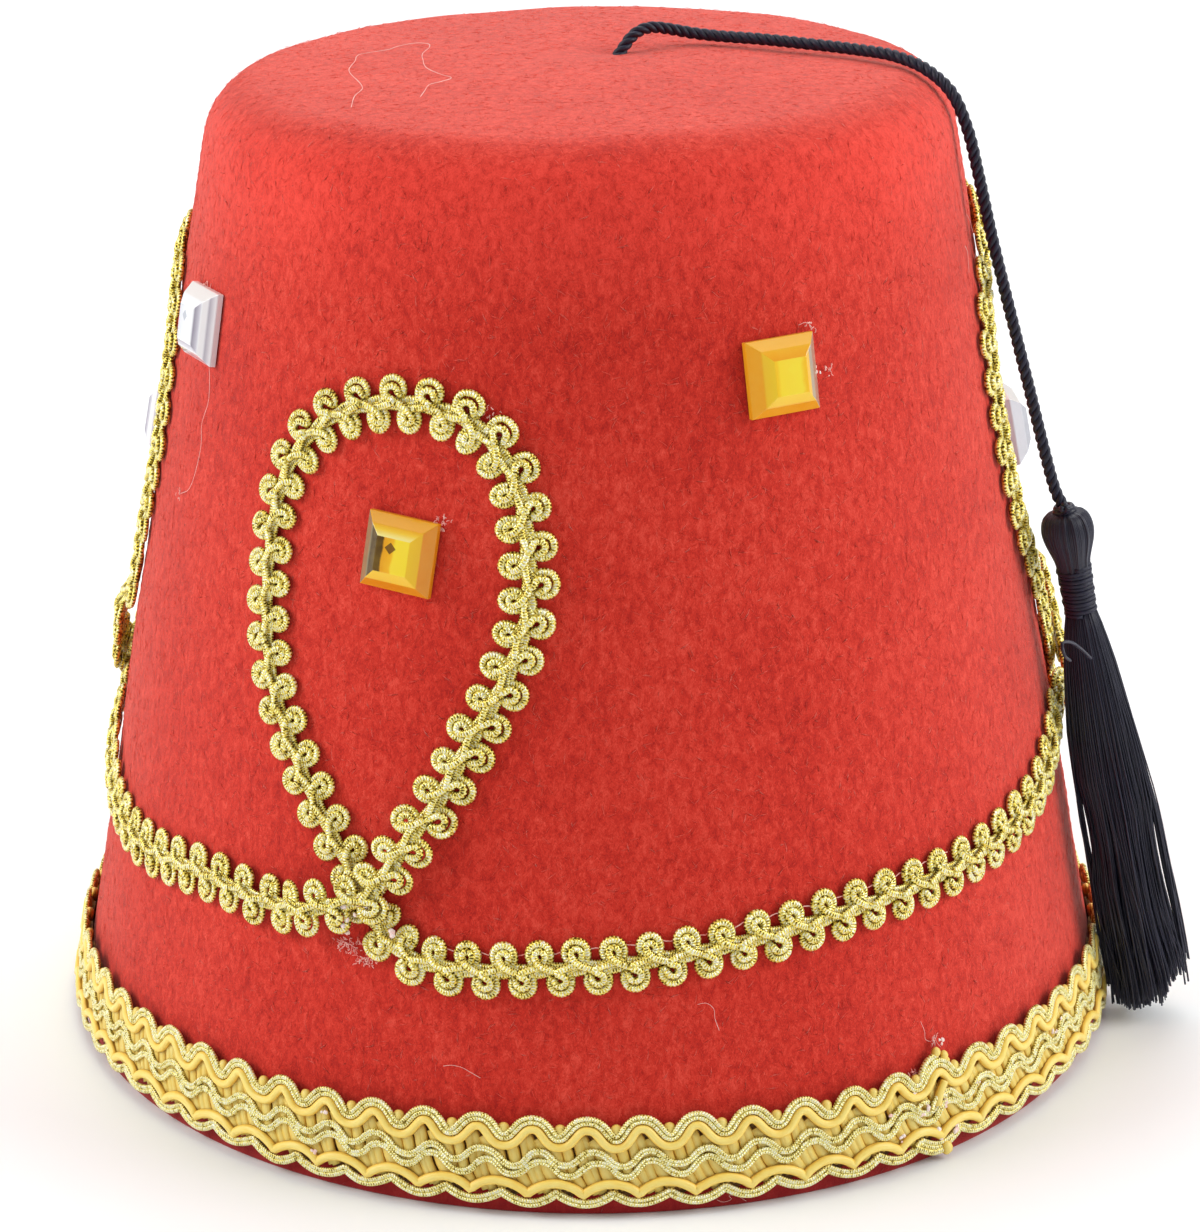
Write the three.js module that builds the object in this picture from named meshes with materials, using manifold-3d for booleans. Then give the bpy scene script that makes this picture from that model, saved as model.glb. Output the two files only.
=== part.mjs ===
// Felt fez with a wavy hem braid, a looped scroll braid, eight square stones and a corded tassel.
// Millimetres, +Z up. The origin is the centre of the rim that the hat stands on, and the front is -Y.
import * as THREE from 'three';
import { mergeVertices } from 'three/addons/utils/BufferGeometryUtils.js';
import Module from 'manifold-3d';

const wasm = await Module();
wasm.setup();

// Felt crown
const rimRadius = 91.5;
const topRadius = 61; // where the line of the flank meets the height of the top
const crownHeight = 166;
const shoulderRadius = 11;
const topDome = 2;
const feltThickness = 2.2;
const crownSides = 60;

// Wavy braid round the hem
const hemFoot = 1.3; // lowest lobes above the rim
const hemWidth = 14.8;
const hemThickness = 2.2;
const hemWaveLength = 8.9;
const hemWaveDepth = 2.6;

// Scroll braid, one strip that runs round the hat and turns a loop in each quarter
const scrollWidth = 9.4;
const scrollThickness = 2;
const scrollPitch = 5.8; // from one ring of the braid to the next
const scallopDepth = 1.1;
const loopHalfWidth = 22.8;
const loopHeight = 78;

// Stones
const stoneSide = 12;
const stoneTable = 5.3;
const stoneStepSide = 8.8;
const stoneGirdle = 1;
const stoneStepHeight = 2.9;
const stoneHeight = 3.8;

// Cord, its knot and its tassel
const cordDiameter = 2;
const knotDiameter = 5.2;
const headDiameter = 8.7;
const headLength = 10;
const neckDiameter = 4.2;
const neckLength = 8;
const skirtDiameter = 13;
const skirtLength = 75;
const tasselFoot = 0.8; // longest locks above the surface that the hat stands on
const lockCount = 12;
const lockDepth = 0.7;
const lockRagged = 3; // how much shorter every other lock is
const bindingWall = 0.6;
const bindingGroove = 0.25; // between one turn of the binding and the next
const bindingTurns = 5;
const coreDepth = 34; // how far the cord runs down inside the tassel

// Clearances
const seatGap = 0.3;
const leanGap = 0.6; // between the tassel and the braids that it leans on

// Each loop: the azimuth of its middle, and its foot as a share of the crown's height
const loops = [
  { azimuth: -97, foot: 0.355 },
  { azimuth: -24.2, foot: 0.292 },
  { azimuth: 92, foot: 0.367 },
  { azimuth: 178, foot: 0.301 },
];

// One loop of the scroll braid: across in shares of loopHalfWidth, up in shares of loopHeight,
// and over 1 where the strip lies on its other strand
const loopRoute = [
  { across: -0.8, up: -0.062, over: 0 },
  { across: -0.45, up: -0.045, over: 1 },
  { across: -0.2, up: -0.02, over: 1 },
  { across: 0.01, up: 0.005, over: 1 },
  { across: 0.17, up: 0.07, over: 1 },
  { across: 0.3, up: 0.135, over: 1 },
  { across: 0.48, up: 0.225, over: 0 },
  { across: 0.68, up: 0.35, over: 0 },
  { across: 0.89, up: 0.476, over: 0 },
  { across: 1, up: 0.6, over: 0 },
  { across: 0.97, up: 0.735, over: 0 },
  { across: 0.85, up: 0.87, over: 0 },
  { across: 0.55, up: 0.97, over: 0 },
  { across: 0.1, up: 1, over: 0 },
  { across: -0.4, up: 0.97, over: 0 },
  { across: -0.77, up: 0.88, over: 0 },
  { across: -0.95, up: 0.77, over: 0 },
  { across: -1.01, up: 0.64, over: 0 },
  { across: -1, up: 0.52, over: 0 },
  { across: -0.92, up: 0.4, over: 0 },
  { across: -0.73, up: 0.29, over: 0 },
  { across: -0.49, up: 0.18, over: 0 },
  { across: -0.26, up: 0.09, over: 0 },
  { across: -0.07, up: 0.02, over: 0 },
  { across: 0.07, up: -0.055, over: 0 },
  { across: 0.26, up: -0.1, over: 0 },
  { across: 0.52, up: -0.12, over: 0 },
];

// The strip between the loops, one list after each loop: height in shares of the crown's height
const swags = [
  [{ azimuth: -74, height: 0.264 }, { azimuth: -62, height: 0.254 }, { azimuth: -48, height: 0.265 }],
  [{ azimuth: 2, height: 0.243 }, { azimuth: 28, height: 0.266 }, { azimuth: 54, height: 0.28 },
    { azimuth: 67, height: 0.3 }],
  [{ azimuth: 114, height: 0.275 }, { azimuth: 130, height: 0.262 }, { azimuth: 150, height: 0.268 }],
  [{ azimuth: 203, height: 0.25 }, { azimuth: 222, height: 0.262 }, { azimuth: 239, height: 0.29 }],
];

// Stones: height of the middle in shares of the crown's height, turn in degrees from upright
const stones = [
  { name: 'stone_front_loop', azimuth: -22.7, height: 0.622, turn: -5.6, colour: 'amber' },
  { name: 'stone_front_right', azimuth: 27, height: 0.779, turn: 1, colour: 'amber' },
  { name: 'stone_right_loop', azimuth: 93, height: 0.61, turn: 0, colour: 'clear' },
  { name: 'stone_back_right', azimuth: 135, height: 0.775, turn: 3, colour: 'clear' },
  { name: 'stone_back_loop', azimuth: 178, height: 0.62, turn: -3, colour: 'amber' },
  { name: 'stone_back_left', azimuth: 221, height: 0.78, turn: 2, colour: 'amber' },
  { name: 'stone_left_loop', azimuth: -97, height: 0.625, turn: 4, colour: 'clear' },
  { name: 'stone_front_left', azimuth: -64.3, height: 0.786, turn: 2, colour: 'clear' },
];

// Where the cord leaves the crown's top, and the points that it follows from there to the tassel
const cordHole = { x: 7.8, y: 3 };
const cordPoints = [
  [9.1, 3.9, 169.55], [10.7, 4.9, 170.6], [12.8, 6, 170.9], [16, 7.1, 170.3], [19.5, 7.6, 169.5],
  [24, 7.2, 168.95], [31, 5, 168.7], [39, 2.3, 168.2],
  [46, -1, 167.85], [52, -5.2, 167.5], [57, -9.5, 166], [60.9, -12.4, 162.7], [63.4, -13.8, 157.2],
  [65.5, -14.5, 149], [67.7, -14.9, 139.5], [70, -15.3, 130.5], [72.5, -15.8, 121], [75, -16.3, 111.5],
  [77.2, -16.8, 103], [79.2, -17.2, 96],
];

// Outline of the tassel's head: down in shares of its length, radius in shares of half its diameter
const headOutline = [
  { down: 0.01, radius: 0.78 },
  { down: 0.12, radius: 0.93 },
  { down: 0.3, radius: 1 },
  { down: 0.5, radius: 0.87 },
  { down: 0.7, radius: 0.6 },
  { down: 0.85, radius: 0.5 },
];

// Outline of its skirt: down in shares of its length, spread from the neck's radius to its own
const skirtOutline = [
  { down: 0.06, spread: 0.18 },
  { down: 0.15, spread: 0.37 },
  { down: 0.3, spread: 0.62 },
  { down: 0.5, spread: 0.86 },
  { down: 0.75, spread: 1 },
  { down: 1, spread: 1 },
];

// Where the tassel hangs: the top of its head stands off the felt by itself, and lower down it
// leans on the scroll braid, then on the hem braid. Heights are shares of its length above its foot
const tasselHang = {
  top: { azimuth: 77.7, height: 0.983, standOff: 8.2 },
  waist: { azimuth: 78.5, height: 0.6, spread: 0.84 },
  overHem: { azimuth: 79.2 },
  foot: { azimuth: 79.5 },
};

const radians = THREE.MathUtils.degToRad;
const flankSlope = (rimRadius - topRadius) / crownHeight;
const flankLean = Math.atan(flankSlope);
const shoulderHeight = crownHeight - shoulderRadius;
const flatRadius = rimRadius - flankSlope * shoulderHeight - shoulderRadius / Math.cos(flankLean);
const tasselLength = headLength + neckLength + skirtLength;

// The strip lies straight across a round hat, so its middle comes nearer to the felt than its edges
const scrollHug = scrollWidth ** 2 / (8 * topRadius);

function flankRadius(height) {
  return rimRadius - flankSlope * height;
}

function outward(azimuth) {
  return new THREE.Vector3(Math.sin(radians(azimuth)), -Math.cos(radians(azimuth)), 0);
}

// A point on the outside of the flank, standing off it along its normal
function onFlank(azimuth, height, standOff) {
  const reach = flankRadius(height) + standOff * Math.cos(flankLean);
  const point = outward(azimuth).multiplyScalar(reach);
  point.z = height + standOff * Math.sin(flankLean);
  return point;
}

// The same after a move along the felt: across to the right and up the slant, in millimetres
function alongFlank(azimuth, height, across, up, standOff) {
  const newHeight = height + up * Math.cos(flankLean);
  const turn = THREE.MathUtils.radToDeg(across / flankRadius(newHeight));
  return onFlank(azimuth + turn, newHeight, standOff);
}

function topHeight(radius) {
  return crownHeight + topDome * (1 - (radius / flatRadius) ** 2);
}

// A closed body through rings of points: joined end to start, or closed by a flat cap at each end
function loft(rings, joined) {
  const sides = rings[0].length;
  const corners = rings.flat();
  const faces = [];
  const last = joined ? rings.length : rings.length - 1;
  for (let i = 0; i < last; i += 1) {
    const here = i * sides;
    const next = ((i + 1) % rings.length) * sides;
    for (let k = 0; k < sides; k += 1) {
      const turn = (k + 1) % sides;
      faces.push(here + k, here + turn, next + turn, here + k, next + turn, next + k);
    }
  }
  if (!joined) {
    [0, rings.length - 1].forEach((end) => {
      const middle = corners.length;
      const centre = new THREE.Vector3();
      rings[end].forEach((corner) => centre.addScaledVector(corner, 1 / sides));
      corners.push(centre);
      for (let k = 0; k < sides; k += 1) {
        const a = end * sides + k;
        const b = end * sides + ((k + 1) % sides);
        faces.push(...(end === 0 ? [middle, b, a] : [middle, a, b]));
      }
    });
  }
  const geometry = new THREE.BufferGeometry();
  geometry.setAttribute('position', new THREE.Float32BufferAttribute(corners.flatMap((c) => [c.x, c.y, c.z]), 3));
  geometry.setIndex(faces);
  geometry.computeVertexNormals();
  return geometry;
}

function toSolid(geometry) {
  const bare = geometry.clone();
  bare.deleteAttribute('normal');
  bare.deleteAttribute('uv');
  const merged = mergeVertices(bare);
  return new wasm.Manifold(new wasm.Mesh({
    numProp: 3,
    vertProperties: new Float32Array(merged.attributes.position.array),
    triVerts: new Uint32Array(merged.index.array),
  }));
}

function toGeometry(solid) {
  const mesh = solid.getMesh();
  const geometry = new THREE.BufferGeometry();
  geometry.setAttribute('position', new THREE.BufferAttribute(mesh.vertProperties, 3));
  geometry.setIndex(new THREE.BufferAttribute(mesh.triVerts, 1));
  geometry.computeVertexNormals();
  return geometry;
}

function finish(color, roughness, metalness) {
  return new THREE.MeshStandardMaterial({ color, roughness, metalness });
}

// One side of the felt as profile points from the rim to the axis, inset from the outer side
function feltSide(inset) {
  const bend = shoulderRadius - inset;
  const arcSteps = 6;
  const domeSteps = 4;
  const points = [new THREE.Vector2(rimRadius - inset / Math.cos(flankLean), 0)];
  for (let i = 0; i <= arcSteps; i += 1) {
    const angle = flankLean + (Math.PI / 2 - flankLean) * (i / arcSteps);
    points.push(new THREE.Vector2(
      flatRadius + bend * Math.cos(angle),
      shoulderHeight + bend * Math.sin(angle),
    ));
  }
  for (let i = 1; i <= domeSteps; i += 1) {
    const radius = flatRadius * (1 - i / domeSteps);
    points.push(new THREE.Vector2(radius, topHeight(radius) - inset));
  }
  return points;
}

function holeAxis() {
  const first = cordPoints[0];
  const along = new THREE.Vector3(first[0] - cordHole.x, first[1] - cordHole.y, 0).normalize();
  along.z = 1;
  return along.normalize();
}

function holeMouth() {
  return new THREE.Vector3(cordHole.x, cordHole.y, topHeight(Math.hypot(cordHole.x, cordHole.y)));
}

// The middle of the knot, which hangs under the felt on the slanting line of the hole
function knotCentre() {
  const drop = feltThickness + seatGap + knotDiameter / 2;
  const axis = holeAxis();
  return holeMouth().addScaledVector(axis, -drop / axis.z);
}

// One-piece felt shell, open below, with the slanting hole that the cord comes out of
function makeCrown() {
  const profile = [...feltSide(feltThickness).reverse(), ...feltSide(0)];
  const shell = new THREE.LatheGeometry(profile, crownSides);
  shell.rotateX(Math.PI / 2);
  const drillRadius = cordDiameter / 2 + seatGap;
  const drill = new THREE.CylinderGeometry(drillRadius, drillRadius, feltThickness * 4, 12);
  drill.applyQuaternion(new THREE.Quaternion().setFromUnitVectors(new THREE.Vector3(0, 1, 0), holeAxis()));
  const middle = holeMouth();
  drill.translate(middle.x, middle.y, middle.z);
  return new THREE.Mesh(toGeometry(toSolid(shell).subtract(toSolid(drill))), finish('#cc2a2e', 0.95, 0));
}

// The hem braid is a flat band that hugs the felt, with waves along both of its edges
function makeHemBraid() {
  const middle = hemFoot + (hemWidth / 2) * Math.cos(flankLean);
  const waves = Math.round((2 * Math.PI * flankRadius(middle)) / hemWaveLength);
  const stepsPerWave = 4;
  const count = waves * stepsPerWave;
  const rings = [];
  for (let i = 0; i < count; i += 1) {
    const azimuth = (i / count) * 360;
    const wave = (hemWaveDepth / 2) * (Math.cos((2 * Math.PI * i) / stepsPerWave) - 1);
    const lower = -hemWidth / 2 - Math.min(0, wave);
    const upper = hemWidth / 2 + wave;
    rings.push([
      alongFlank(azimuth, middle, 0, upper, seatGap),
      alongFlank(azimuth, middle, 0, upper, seatGap + hemThickness),
      alongFlank(azimuth, middle, 0, lower, seatGap + hemThickness),
      alongFlank(azimuth, middle, 0, lower, seatGap),
    ]);
  }
  return new THREE.Mesh(loft(rings, true), finish('#d9b24c', 0.5, 0.3));
}

// The middle line of the scroll braid: x is azimuth in degrees, y is height, z is 1 where it lies on top
function scrollLine() {
  const points = [];
  loops.forEach((loop, number) => {
    const foot = loop.foot * crownHeight;
    loopRoute.forEach((row) => {
      const height = foot + row.up * loopHeight;
      const turn = THREE.MathUtils.radToDeg((row.across * loopHalfWidth) / flankRadius(height));
      points.push(new THREE.Vector3(loop.azimuth + turn, height, row.over));
    });
    swags[number].forEach((row) => points.push(new THREE.Vector3(row.azimuth, row.height * crownHeight, 0)));
  });
  return points;
}

// Steps of equal length along the line, the last one meeting the first a full turn round the hat
function scrollSteps() {
  const points = scrollLine();
  const fullTurn = new THREE.Vector3(360, 0, 0);
  const before = points[points.length - 1].clone().sub(fullTurn);
  const after = points.slice(0, 2).map((point) => point.clone().add(fullTurn));
  const curve = new THREE.CatmullRomCurve3([before, ...points, ...after], false, 'centripetal');
  const spans = points.length + 2;
  const fine = [];
  const finePerSpan = 24;
  for (let i = 0; i <= points.length * finePerSpan; i += 1) {
    fine.push(curve.getPoint((1 + i / finePerSpan) / spans));
  }
  const travel = [0];
  for (let i = 1; i < fine.length; i += 1) {
    const radius = flankRadius((fine[i].y + fine[i - 1].y) / 2);
    const across = radians(fine[i].x - fine[i - 1].x) * radius;
    const up = (fine[i].y - fine[i - 1].y) / Math.cos(flankLean);
    travel.push(travel[i - 1] + Math.hypot(across, up));
  }
  const length = travel[travel.length - 1];
  const count = 2 * Math.round(length / scrollPitch);
  const steps = [];
  let k = 0;
  for (let i = 0; i < count; i += 1) {
    const target = (i / count) * length;
    while (travel[k + 1] < target) k += 1;
    const share = (target - travel[k]) / (travel[k + 1] - travel[k]);
    steps.push(fine[k].clone().lerp(fine[k + 1], share));
  }
  return steps;
}

function makeScrollBraid() {
  const steps = scrollSteps();
  const count = steps.length;
  const rings = steps.map((step, i) => {
    const next = steps[(i + 1) % count];
    const last = steps[(i + count - 1) % count];
    const turn = ((next.x - last.x + 540) % 360) - 180;
    const heading = new THREE.Vector2(
      radians(turn) * flankRadius(step.y),
      (next.y - last.y) / Math.cos(flankLean),
    ).normalize();
    const lift = THREE.MathUtils.smoothstep(step.z, 0, 1) * (scrollThickness + seatGap);
    const low = seatGap + scrollHug + lift;
    const high = low + scrollThickness;
    const left = scrollWidth / 2 - (i % 2 === 0 ? 0 : scallopDepth);
    const right = scrollWidth / 2 - (i % 2 === 0 ? scallopDepth : 0);
    const corner = (side, standOff) => (
      alongFlank(step.x, step.y, -heading.y * side, heading.x * side, standOff)
    );
    return [corner(left, high), corner(-right, high), corner(-right, low), corner(left, low)];
  });
  return new THREE.Mesh(loft(rings, true), finish('#c9b040', 0.4, 0.6));
}

// A flat-backed square stone with a table and two rows of four facets
function makeStone(stone) {
  const square = (side, height) => [[-1, -1], [1, -1], [1, 1], [-1, 1]].map(
    ([x, y]) => new THREE.Vector3((x * side) / 2, (y * side) / 2, height),
  );
  const cut = loft([
    square(stoneSide, 0),
    square(stoneSide, stoneGirdle),
    square(stoneStepSide, stoneStepHeight),
    square(stoneTable, stoneHeight),
  ], false);
  const colour = stone.colour === 'amber' ? '#f0a018' : '#e8ebee';
  const mesh = new THREE.Mesh(cut, finish(colour, 0.1, 0));
  const height = stone.height * crownHeight;
  const out = outward(stone.azimuth).multiplyScalar(Math.cos(flankLean));
  out.z = Math.sin(flankLean);
  const right = new THREE.Vector3(Math.cos(radians(stone.azimuth)), Math.sin(radians(stone.azimuth)), 0);
  const up = new THREE.Vector3().crossVectors(out, right);
  mesh.quaternion.setFromRotationMatrix(new THREE.Matrix4().makeBasis(right, up, out));
  mesh.rotateZ(radians(stone.turn));
  mesh.position.copy(onFlank(stone.azimuth, height, seatGap));
  return mesh;
}

// The tassel's middle line, from the top of its head down to its foot
function tasselLine() {
  const halfSkirt = skirtDiameter / 2;
  const { top, waist, overHem, foot } = tasselHang;
  const onScroll = seatGap + scrollThickness + leanGap + halfSkirt * waist.spread;
  const onHem = seatGap + hemThickness + leanGap + halfSkirt;
  const rows = [
    [top.azimuth, tasselFoot + tasselLength * top.height, top.standOff],
    [waist.azimuth, tasselFoot + tasselLength * waist.height, onScroll],
    [overHem.azimuth, hemFoot + hemWidth, onHem],
    [foot.azimuth, tasselFoot + halfSkirt * Math.sin(flankLean), onHem],
  ];
  return new THREE.CatmullRomCurve3(rows.map(([azimuth, height, standOff]) => {
    const point = outward(azimuth).multiplyScalar(flankRadius(height) + standOff);
    point.z = height;
    return point;
  }));
}

// A ring of the tassel: the locks show as lobes, and swell towards the foot
function tasselRing(line, down, radius, lobes, ragged) {
  const length = line.getLength();
  const sides = lockCount * 2;
  const place = line.getPointAt(Math.min(1, down / length));
  const along = line.getTangentAt(Math.min(1, down / length));
  const across = new THREE.Vector3().crossVectors(along, new THREE.Vector3(0, 0, 1)).normalize();
  const away = new THREE.Vector3().crossVectors(across, along).normalize();
  return Array.from({ length: sides }, (_, k) => {
    const angle = (-2 * Math.PI * k) / sides;
    const reach = radius - (k % 2) * lobes;
    const point = place.clone().addScaledVector(across, Math.cos(angle) * reach);
    point.addScaledVector(away, Math.sin(angle) * reach);
    return point.addScaledVector(along, -ragged * (k % 2));
  });
}

// Head, neck and locks of the tassel in one body, with the bore that the cord runs down in
function makeTassel() {
  const line = tasselLine();
  const bore = cordDiameter / 2 + seatGap;
  const neckEnd = headLength + neckLength;
  const length = line.getLength();
  const rings = [1, 0.8, 0.55, 0.3, 0.12, 0].map((share) => (
    tasselRing(line, (coreDepth + seatGap) * share, bore, 0, 0)
  ));
  const neck = neckDiameter / 2;
  headOutline.forEach((row) => {
    const radius = Math.max(neck, (headDiameter / 2) * row.radius);
    rings.push(tasselRing(line, headLength * row.down, radius, 0, 0));
  });
  rings.push(tasselRing(line, headLength, neck, 0, 0));
  rings.push(tasselRing(line, neckEnd, neck, 0, 0));
  skirtOutline.forEach(({ down, spread }) => {
    const radius = neck + (skirtDiameter / 2 - neck) * spread;
    const below = neckEnd + (length - neckEnd) * down;
    rings.push(tasselRing(line, below, radius, lockDepth * down, lockRagged * down ** 4));
  });
  return new THREE.Mesh(loft(rings, false), finish('#1c1b24', 0.6, 0));
}

// The thread wound round the tassel's neck
function makeBinding() {
  const line = tasselLine();
  const inner = neckDiameter / 2 + seatGap;
  const windLength = neckLength - 2 * seatGap;
  const turnLength = windLength / bindingTurns;
  const profile = [new THREE.Vector2(inner, 0)];
  for (let i = 0; i < bindingTurns; i += 1) {
    profile.push(new THREE.Vector2(inner + bindingWall - bindingGroove, turnLength * i));
    profile.push(new THREE.Vector2(inner + bindingWall, turnLength * (i + 0.5)));
  }
  profile.push(new THREE.Vector2(inner + bindingWall - bindingGroove, windLength));
  profile.push(new THREE.Vector2(inner, windLength));
  profile.push(profile[0].clone());
  const wound = new THREE.LatheGeometry(profile, 16);
  const mesh = new THREE.Mesh(wound, finish('#17161d', 0.5, 0));
  const length = line.getLength();
  const bottom = line.getPointAt((headLength + neckLength - seatGap) / length);
  const top = line.getPointAt((headLength + seatGap) / length);
  mesh.quaternion.setFromUnitVectors(new THREE.Vector3(0, 1, 0), top.clone().sub(bottom).normalize());
  mesh.position.copy(bottom);
  return mesh;
}

// The cord: from the knot, up through the felt, over the shoulder and down into the tassel
function makeCord() {
  const axis = holeAxis();
  const start = knotCentre().addScaledVector(axis, knotDiameter / 2 + seatGap);
  const mouth = holeMouth();
  const line = tasselLine();
  const inside = [0, 0.35, 0.7, 1].map((share) => line.getPointAt((coreDepth * share) / line.getLength()));
  const points = [
    start,
    start.clone().lerp(mouth, 0.6),
    mouth,
    ...cordPoints.map(([x, y, z]) => new THREE.Vector3(x, y, z)),
    ...inside,
  ];
  const route = new THREE.CatmullRomCurve3(points, false, 'centripetal');
  const section = new THREE.Shape();
  const sides = 8;
  for (let i = 0; i < sides; i += 1) {
    const angle = (2 * Math.PI * i) / sides;
    const x = (cordDiameter / 2) * Math.cos(angle);
    const y = (cordDiameter / 2) * Math.sin(angle);
    if (i === 0) section.moveTo(x, y);
    else section.lineTo(x, y);
  }
  const steps = 56;
  const tube = new THREE.ExtrudeGeometry(section, { steps, extrudePath: route, bevelEnabled: false });
  return new THREE.Mesh(tube, finish('#16151c', 0.6, 0));
}

function makeKnot() {
  const mesh = new THREE.Mesh(new THREE.SphereGeometry(knotDiameter / 2, 12, 8), finish('#16151c', 0.6, 0));
  mesh.position.copy(knotCentre());
  return mesh;
}

const hat = new THREE.Group();

function addPiece(name, mesh) {
  mesh.name = name;
  hat.add(mesh);
}

addPiece('felt_crown', makeCrown());
addPiece('hem_braid', makeHemBraid());
addPiece('scroll_braid', makeScrollBraid());
stones.forEach((stone) => addPiece(stone.name, makeStone(stone)));
addPiece('tassel_cord', makeCord());
addPiece('cord_knot', makeKnot());
addPiece('tassel', makeTassel());
addPiece('tassel_binding', makeBinding());

export default hat;
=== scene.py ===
import math

import bpy
import numpy as np
from mathutils import Matrix, Vector
from mathutils import noise as field


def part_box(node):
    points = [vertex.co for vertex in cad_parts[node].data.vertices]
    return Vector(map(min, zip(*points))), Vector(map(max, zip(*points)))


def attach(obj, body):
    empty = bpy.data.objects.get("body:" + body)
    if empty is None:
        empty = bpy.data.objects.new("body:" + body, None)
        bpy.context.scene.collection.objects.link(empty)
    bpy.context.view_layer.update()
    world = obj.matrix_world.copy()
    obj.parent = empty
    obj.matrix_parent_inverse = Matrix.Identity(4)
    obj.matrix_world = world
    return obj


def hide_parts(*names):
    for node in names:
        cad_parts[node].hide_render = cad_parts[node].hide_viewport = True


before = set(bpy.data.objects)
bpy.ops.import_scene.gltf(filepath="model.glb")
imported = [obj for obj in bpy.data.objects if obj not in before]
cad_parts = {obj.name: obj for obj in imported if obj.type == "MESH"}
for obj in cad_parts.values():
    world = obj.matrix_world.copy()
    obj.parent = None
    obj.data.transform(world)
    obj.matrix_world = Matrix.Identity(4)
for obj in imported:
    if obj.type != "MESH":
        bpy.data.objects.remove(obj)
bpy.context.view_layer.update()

mm = 0.001
dice = np.random.default_rng(41)
print("frame loaded:", len(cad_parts), "nodes")

crown = {
    "rimRadius": 91.5,
    "topRadius": 61.0,
    "height": 166.0,
    "shoulderRadius": 11.0,
    "topDome": 2.0,
    "feltThickness": 2.2,
    "sides": 144,
    "flankRows": 26,
    "shoulderRows": 7,
    "topRows": 9,
    "unevenness": 0.35,      # how far the moulded felt wanders from a true cone
}
flankSlope = (crown["rimRadius"] - crown["topRadius"]) / crown["height"]
flankLean = math.atan(flankSlope)
shoulderHeight = crown["height"] - crown["shoulderRadius"]
flatRadius = (crown["rimRadius"] - flankSlope * shoulderHeight
              - crown["shoulderRadius"] / math.cos(flankLean))
seatGap = 0.3


# where things are on the hat: azimuth in degrees, 0 in front and 90 on the tassel's side; millimetres
def flankRadius(height):
    return crown["rimRadius"] - flankSlope * height


def onFlank(azimuth, height, standOff):
    angle = np.radians(azimuth)
    reach = flankRadius(height) + standOff * math.cos(flankLean)
    lift = height + standOff * math.sin(flankLean)
    return np.stack([np.sin(angle) * reach, -np.cos(angle) * reach, lift + 0 * angle], axis=-1)


def onHem(azimuth, height, standOff):
    return onFlank(azimuth, hem["foot"] + height * math.cos(flankLean), standOff)


def flankNormal(azimuth):
    angle = np.radians(azimuth)
    flat = math.cos(flankLean)
    lift = math.sin(flankLean) + 0 * angle
    return np.stack([np.sin(angle) * flat, -np.cos(angle) * flat, lift], axis=-1)


def topHeight(radius):
    return crown["height"] + crown["topDome"] * (1 - (radius / flatRadius) ** 2)


# a centripetal Catmull-Rom line through points, with so many steps for each span
def smoothLine(points, steps, ends=None):
    points = [np.array(p, dtype=float) for p in points]
    first = ends[0] if ends else 2 * points[0] - points[1]
    last = ends[1] if ends else 2 * points[-1] - points[-2]
    chain = [np.array(first, dtype=float), *points, np.array(last, dtype=float)]
    line = []
    for i in range(1, len(chain) - 2):
        a, b, c, d = chain[i - 1:i + 3]
        gaps = [max(1e-6, float(np.linalg.norm(q - p))) ** 0.5 for p, q in ((a, b), (b, c), (c, d))]
        into = (b - a) / gaps[0] - (c - a) / (gaps[0] + gaps[1]) + (c - b) / gaps[1]
        out = (c - b) / gaps[1] - (d - b) / (gaps[1] + gaps[2]) + (d - c) / gaps[2]
        into, out = into * gaps[1], out * gaps[1]
        for k in range(steps):
            t = k / steps
            line.append(b * (2 * t ** 3 - 3 * t ** 2 + 1) + c * (3 * t ** 2 - 2 * t ** 3)
                        + into * (t ** 3 - 2 * t ** 2 + t) + out * (t ** 3 - t ** 2))
    line.append(chain[-2])
    return np.array(line)


# the same line again with points an equal way apart
def evenLine(line, step):
    travel = np.concatenate([[0], np.cumsum(np.linalg.norm(np.diff(line, axis=0), axis=1))])
    count = max(2, round(travel[-1] / step) + 1)
    marks = np.linspace(0, travel[-1], count)
    return np.stack([np.interp(marks, travel, line[:, k]) for k in range(line.shape[1])], axis=1)


# materials

def newMaterial(name, **settings):
    material = bpy.data.materials.new(name)
    material.use_nodes = True
    shader = material.node_tree.nodes["Principled BSDF"]
    for socket, value in settings.items():
        shader.inputs[socket.replace("_", " ")].default_value = value
    return material, material.node_tree, shader


def addNode(tree, kind, inputs=None, **settings):
    node = tree.nodes.new("ShaderNode" + kind)
    for key, value in settings.items():
        setattr(node, key, value)
    for socket, value in (inputs or {}).items():
        if isinstance(value, bpy.types.NodeSocket):
            tree.links.new(value, node.inputs[socket])
        else:
            node.inputs[socket].default_value = value
    return node


def maths(tree, operation, a, b=0.0, c=0.0):
    return addNode(tree, "Math", {0: a, 1: b, 2: c}, operation=operation).outputs[0]


# a constant and some sockets, each times its weight, added up
def weigh(tree, total, *terms):
    for socket, weight in terms:
        total = maths(tree, "MULTIPLY_ADD", socket, weight, total)
    return total


def wrapMap(tree):
    return addNode(tree, "UVMap", uv_map="wrap").outputs["UV"]


def axes(tree, vector):
    return addNode(tree, "SeparateXYZ", {"Vector": vector}).outputs


def noise(tree, vector, scale, detail=2.0, roughness=0.5, distortion=0.0):
    node = addNode(tree, "TexNoise", {"Vector": vector, "Scale": scale, "Detail": detail,
                                      "Roughness": roughness, "Distortion": distortion})
    return node.outputs["Fac"]


def objectPlace(tree, stretch=(1, 1, 1), turn=(0, 0, 0)):
    place = addNode(tree, "TexCoord").outputs["Object"]
    mapping = addNode(tree, "Mapping", {"Vector": place, "Scale": stretch, "Rotation": turn})
    return mapping.outputs["Vector"]


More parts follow.
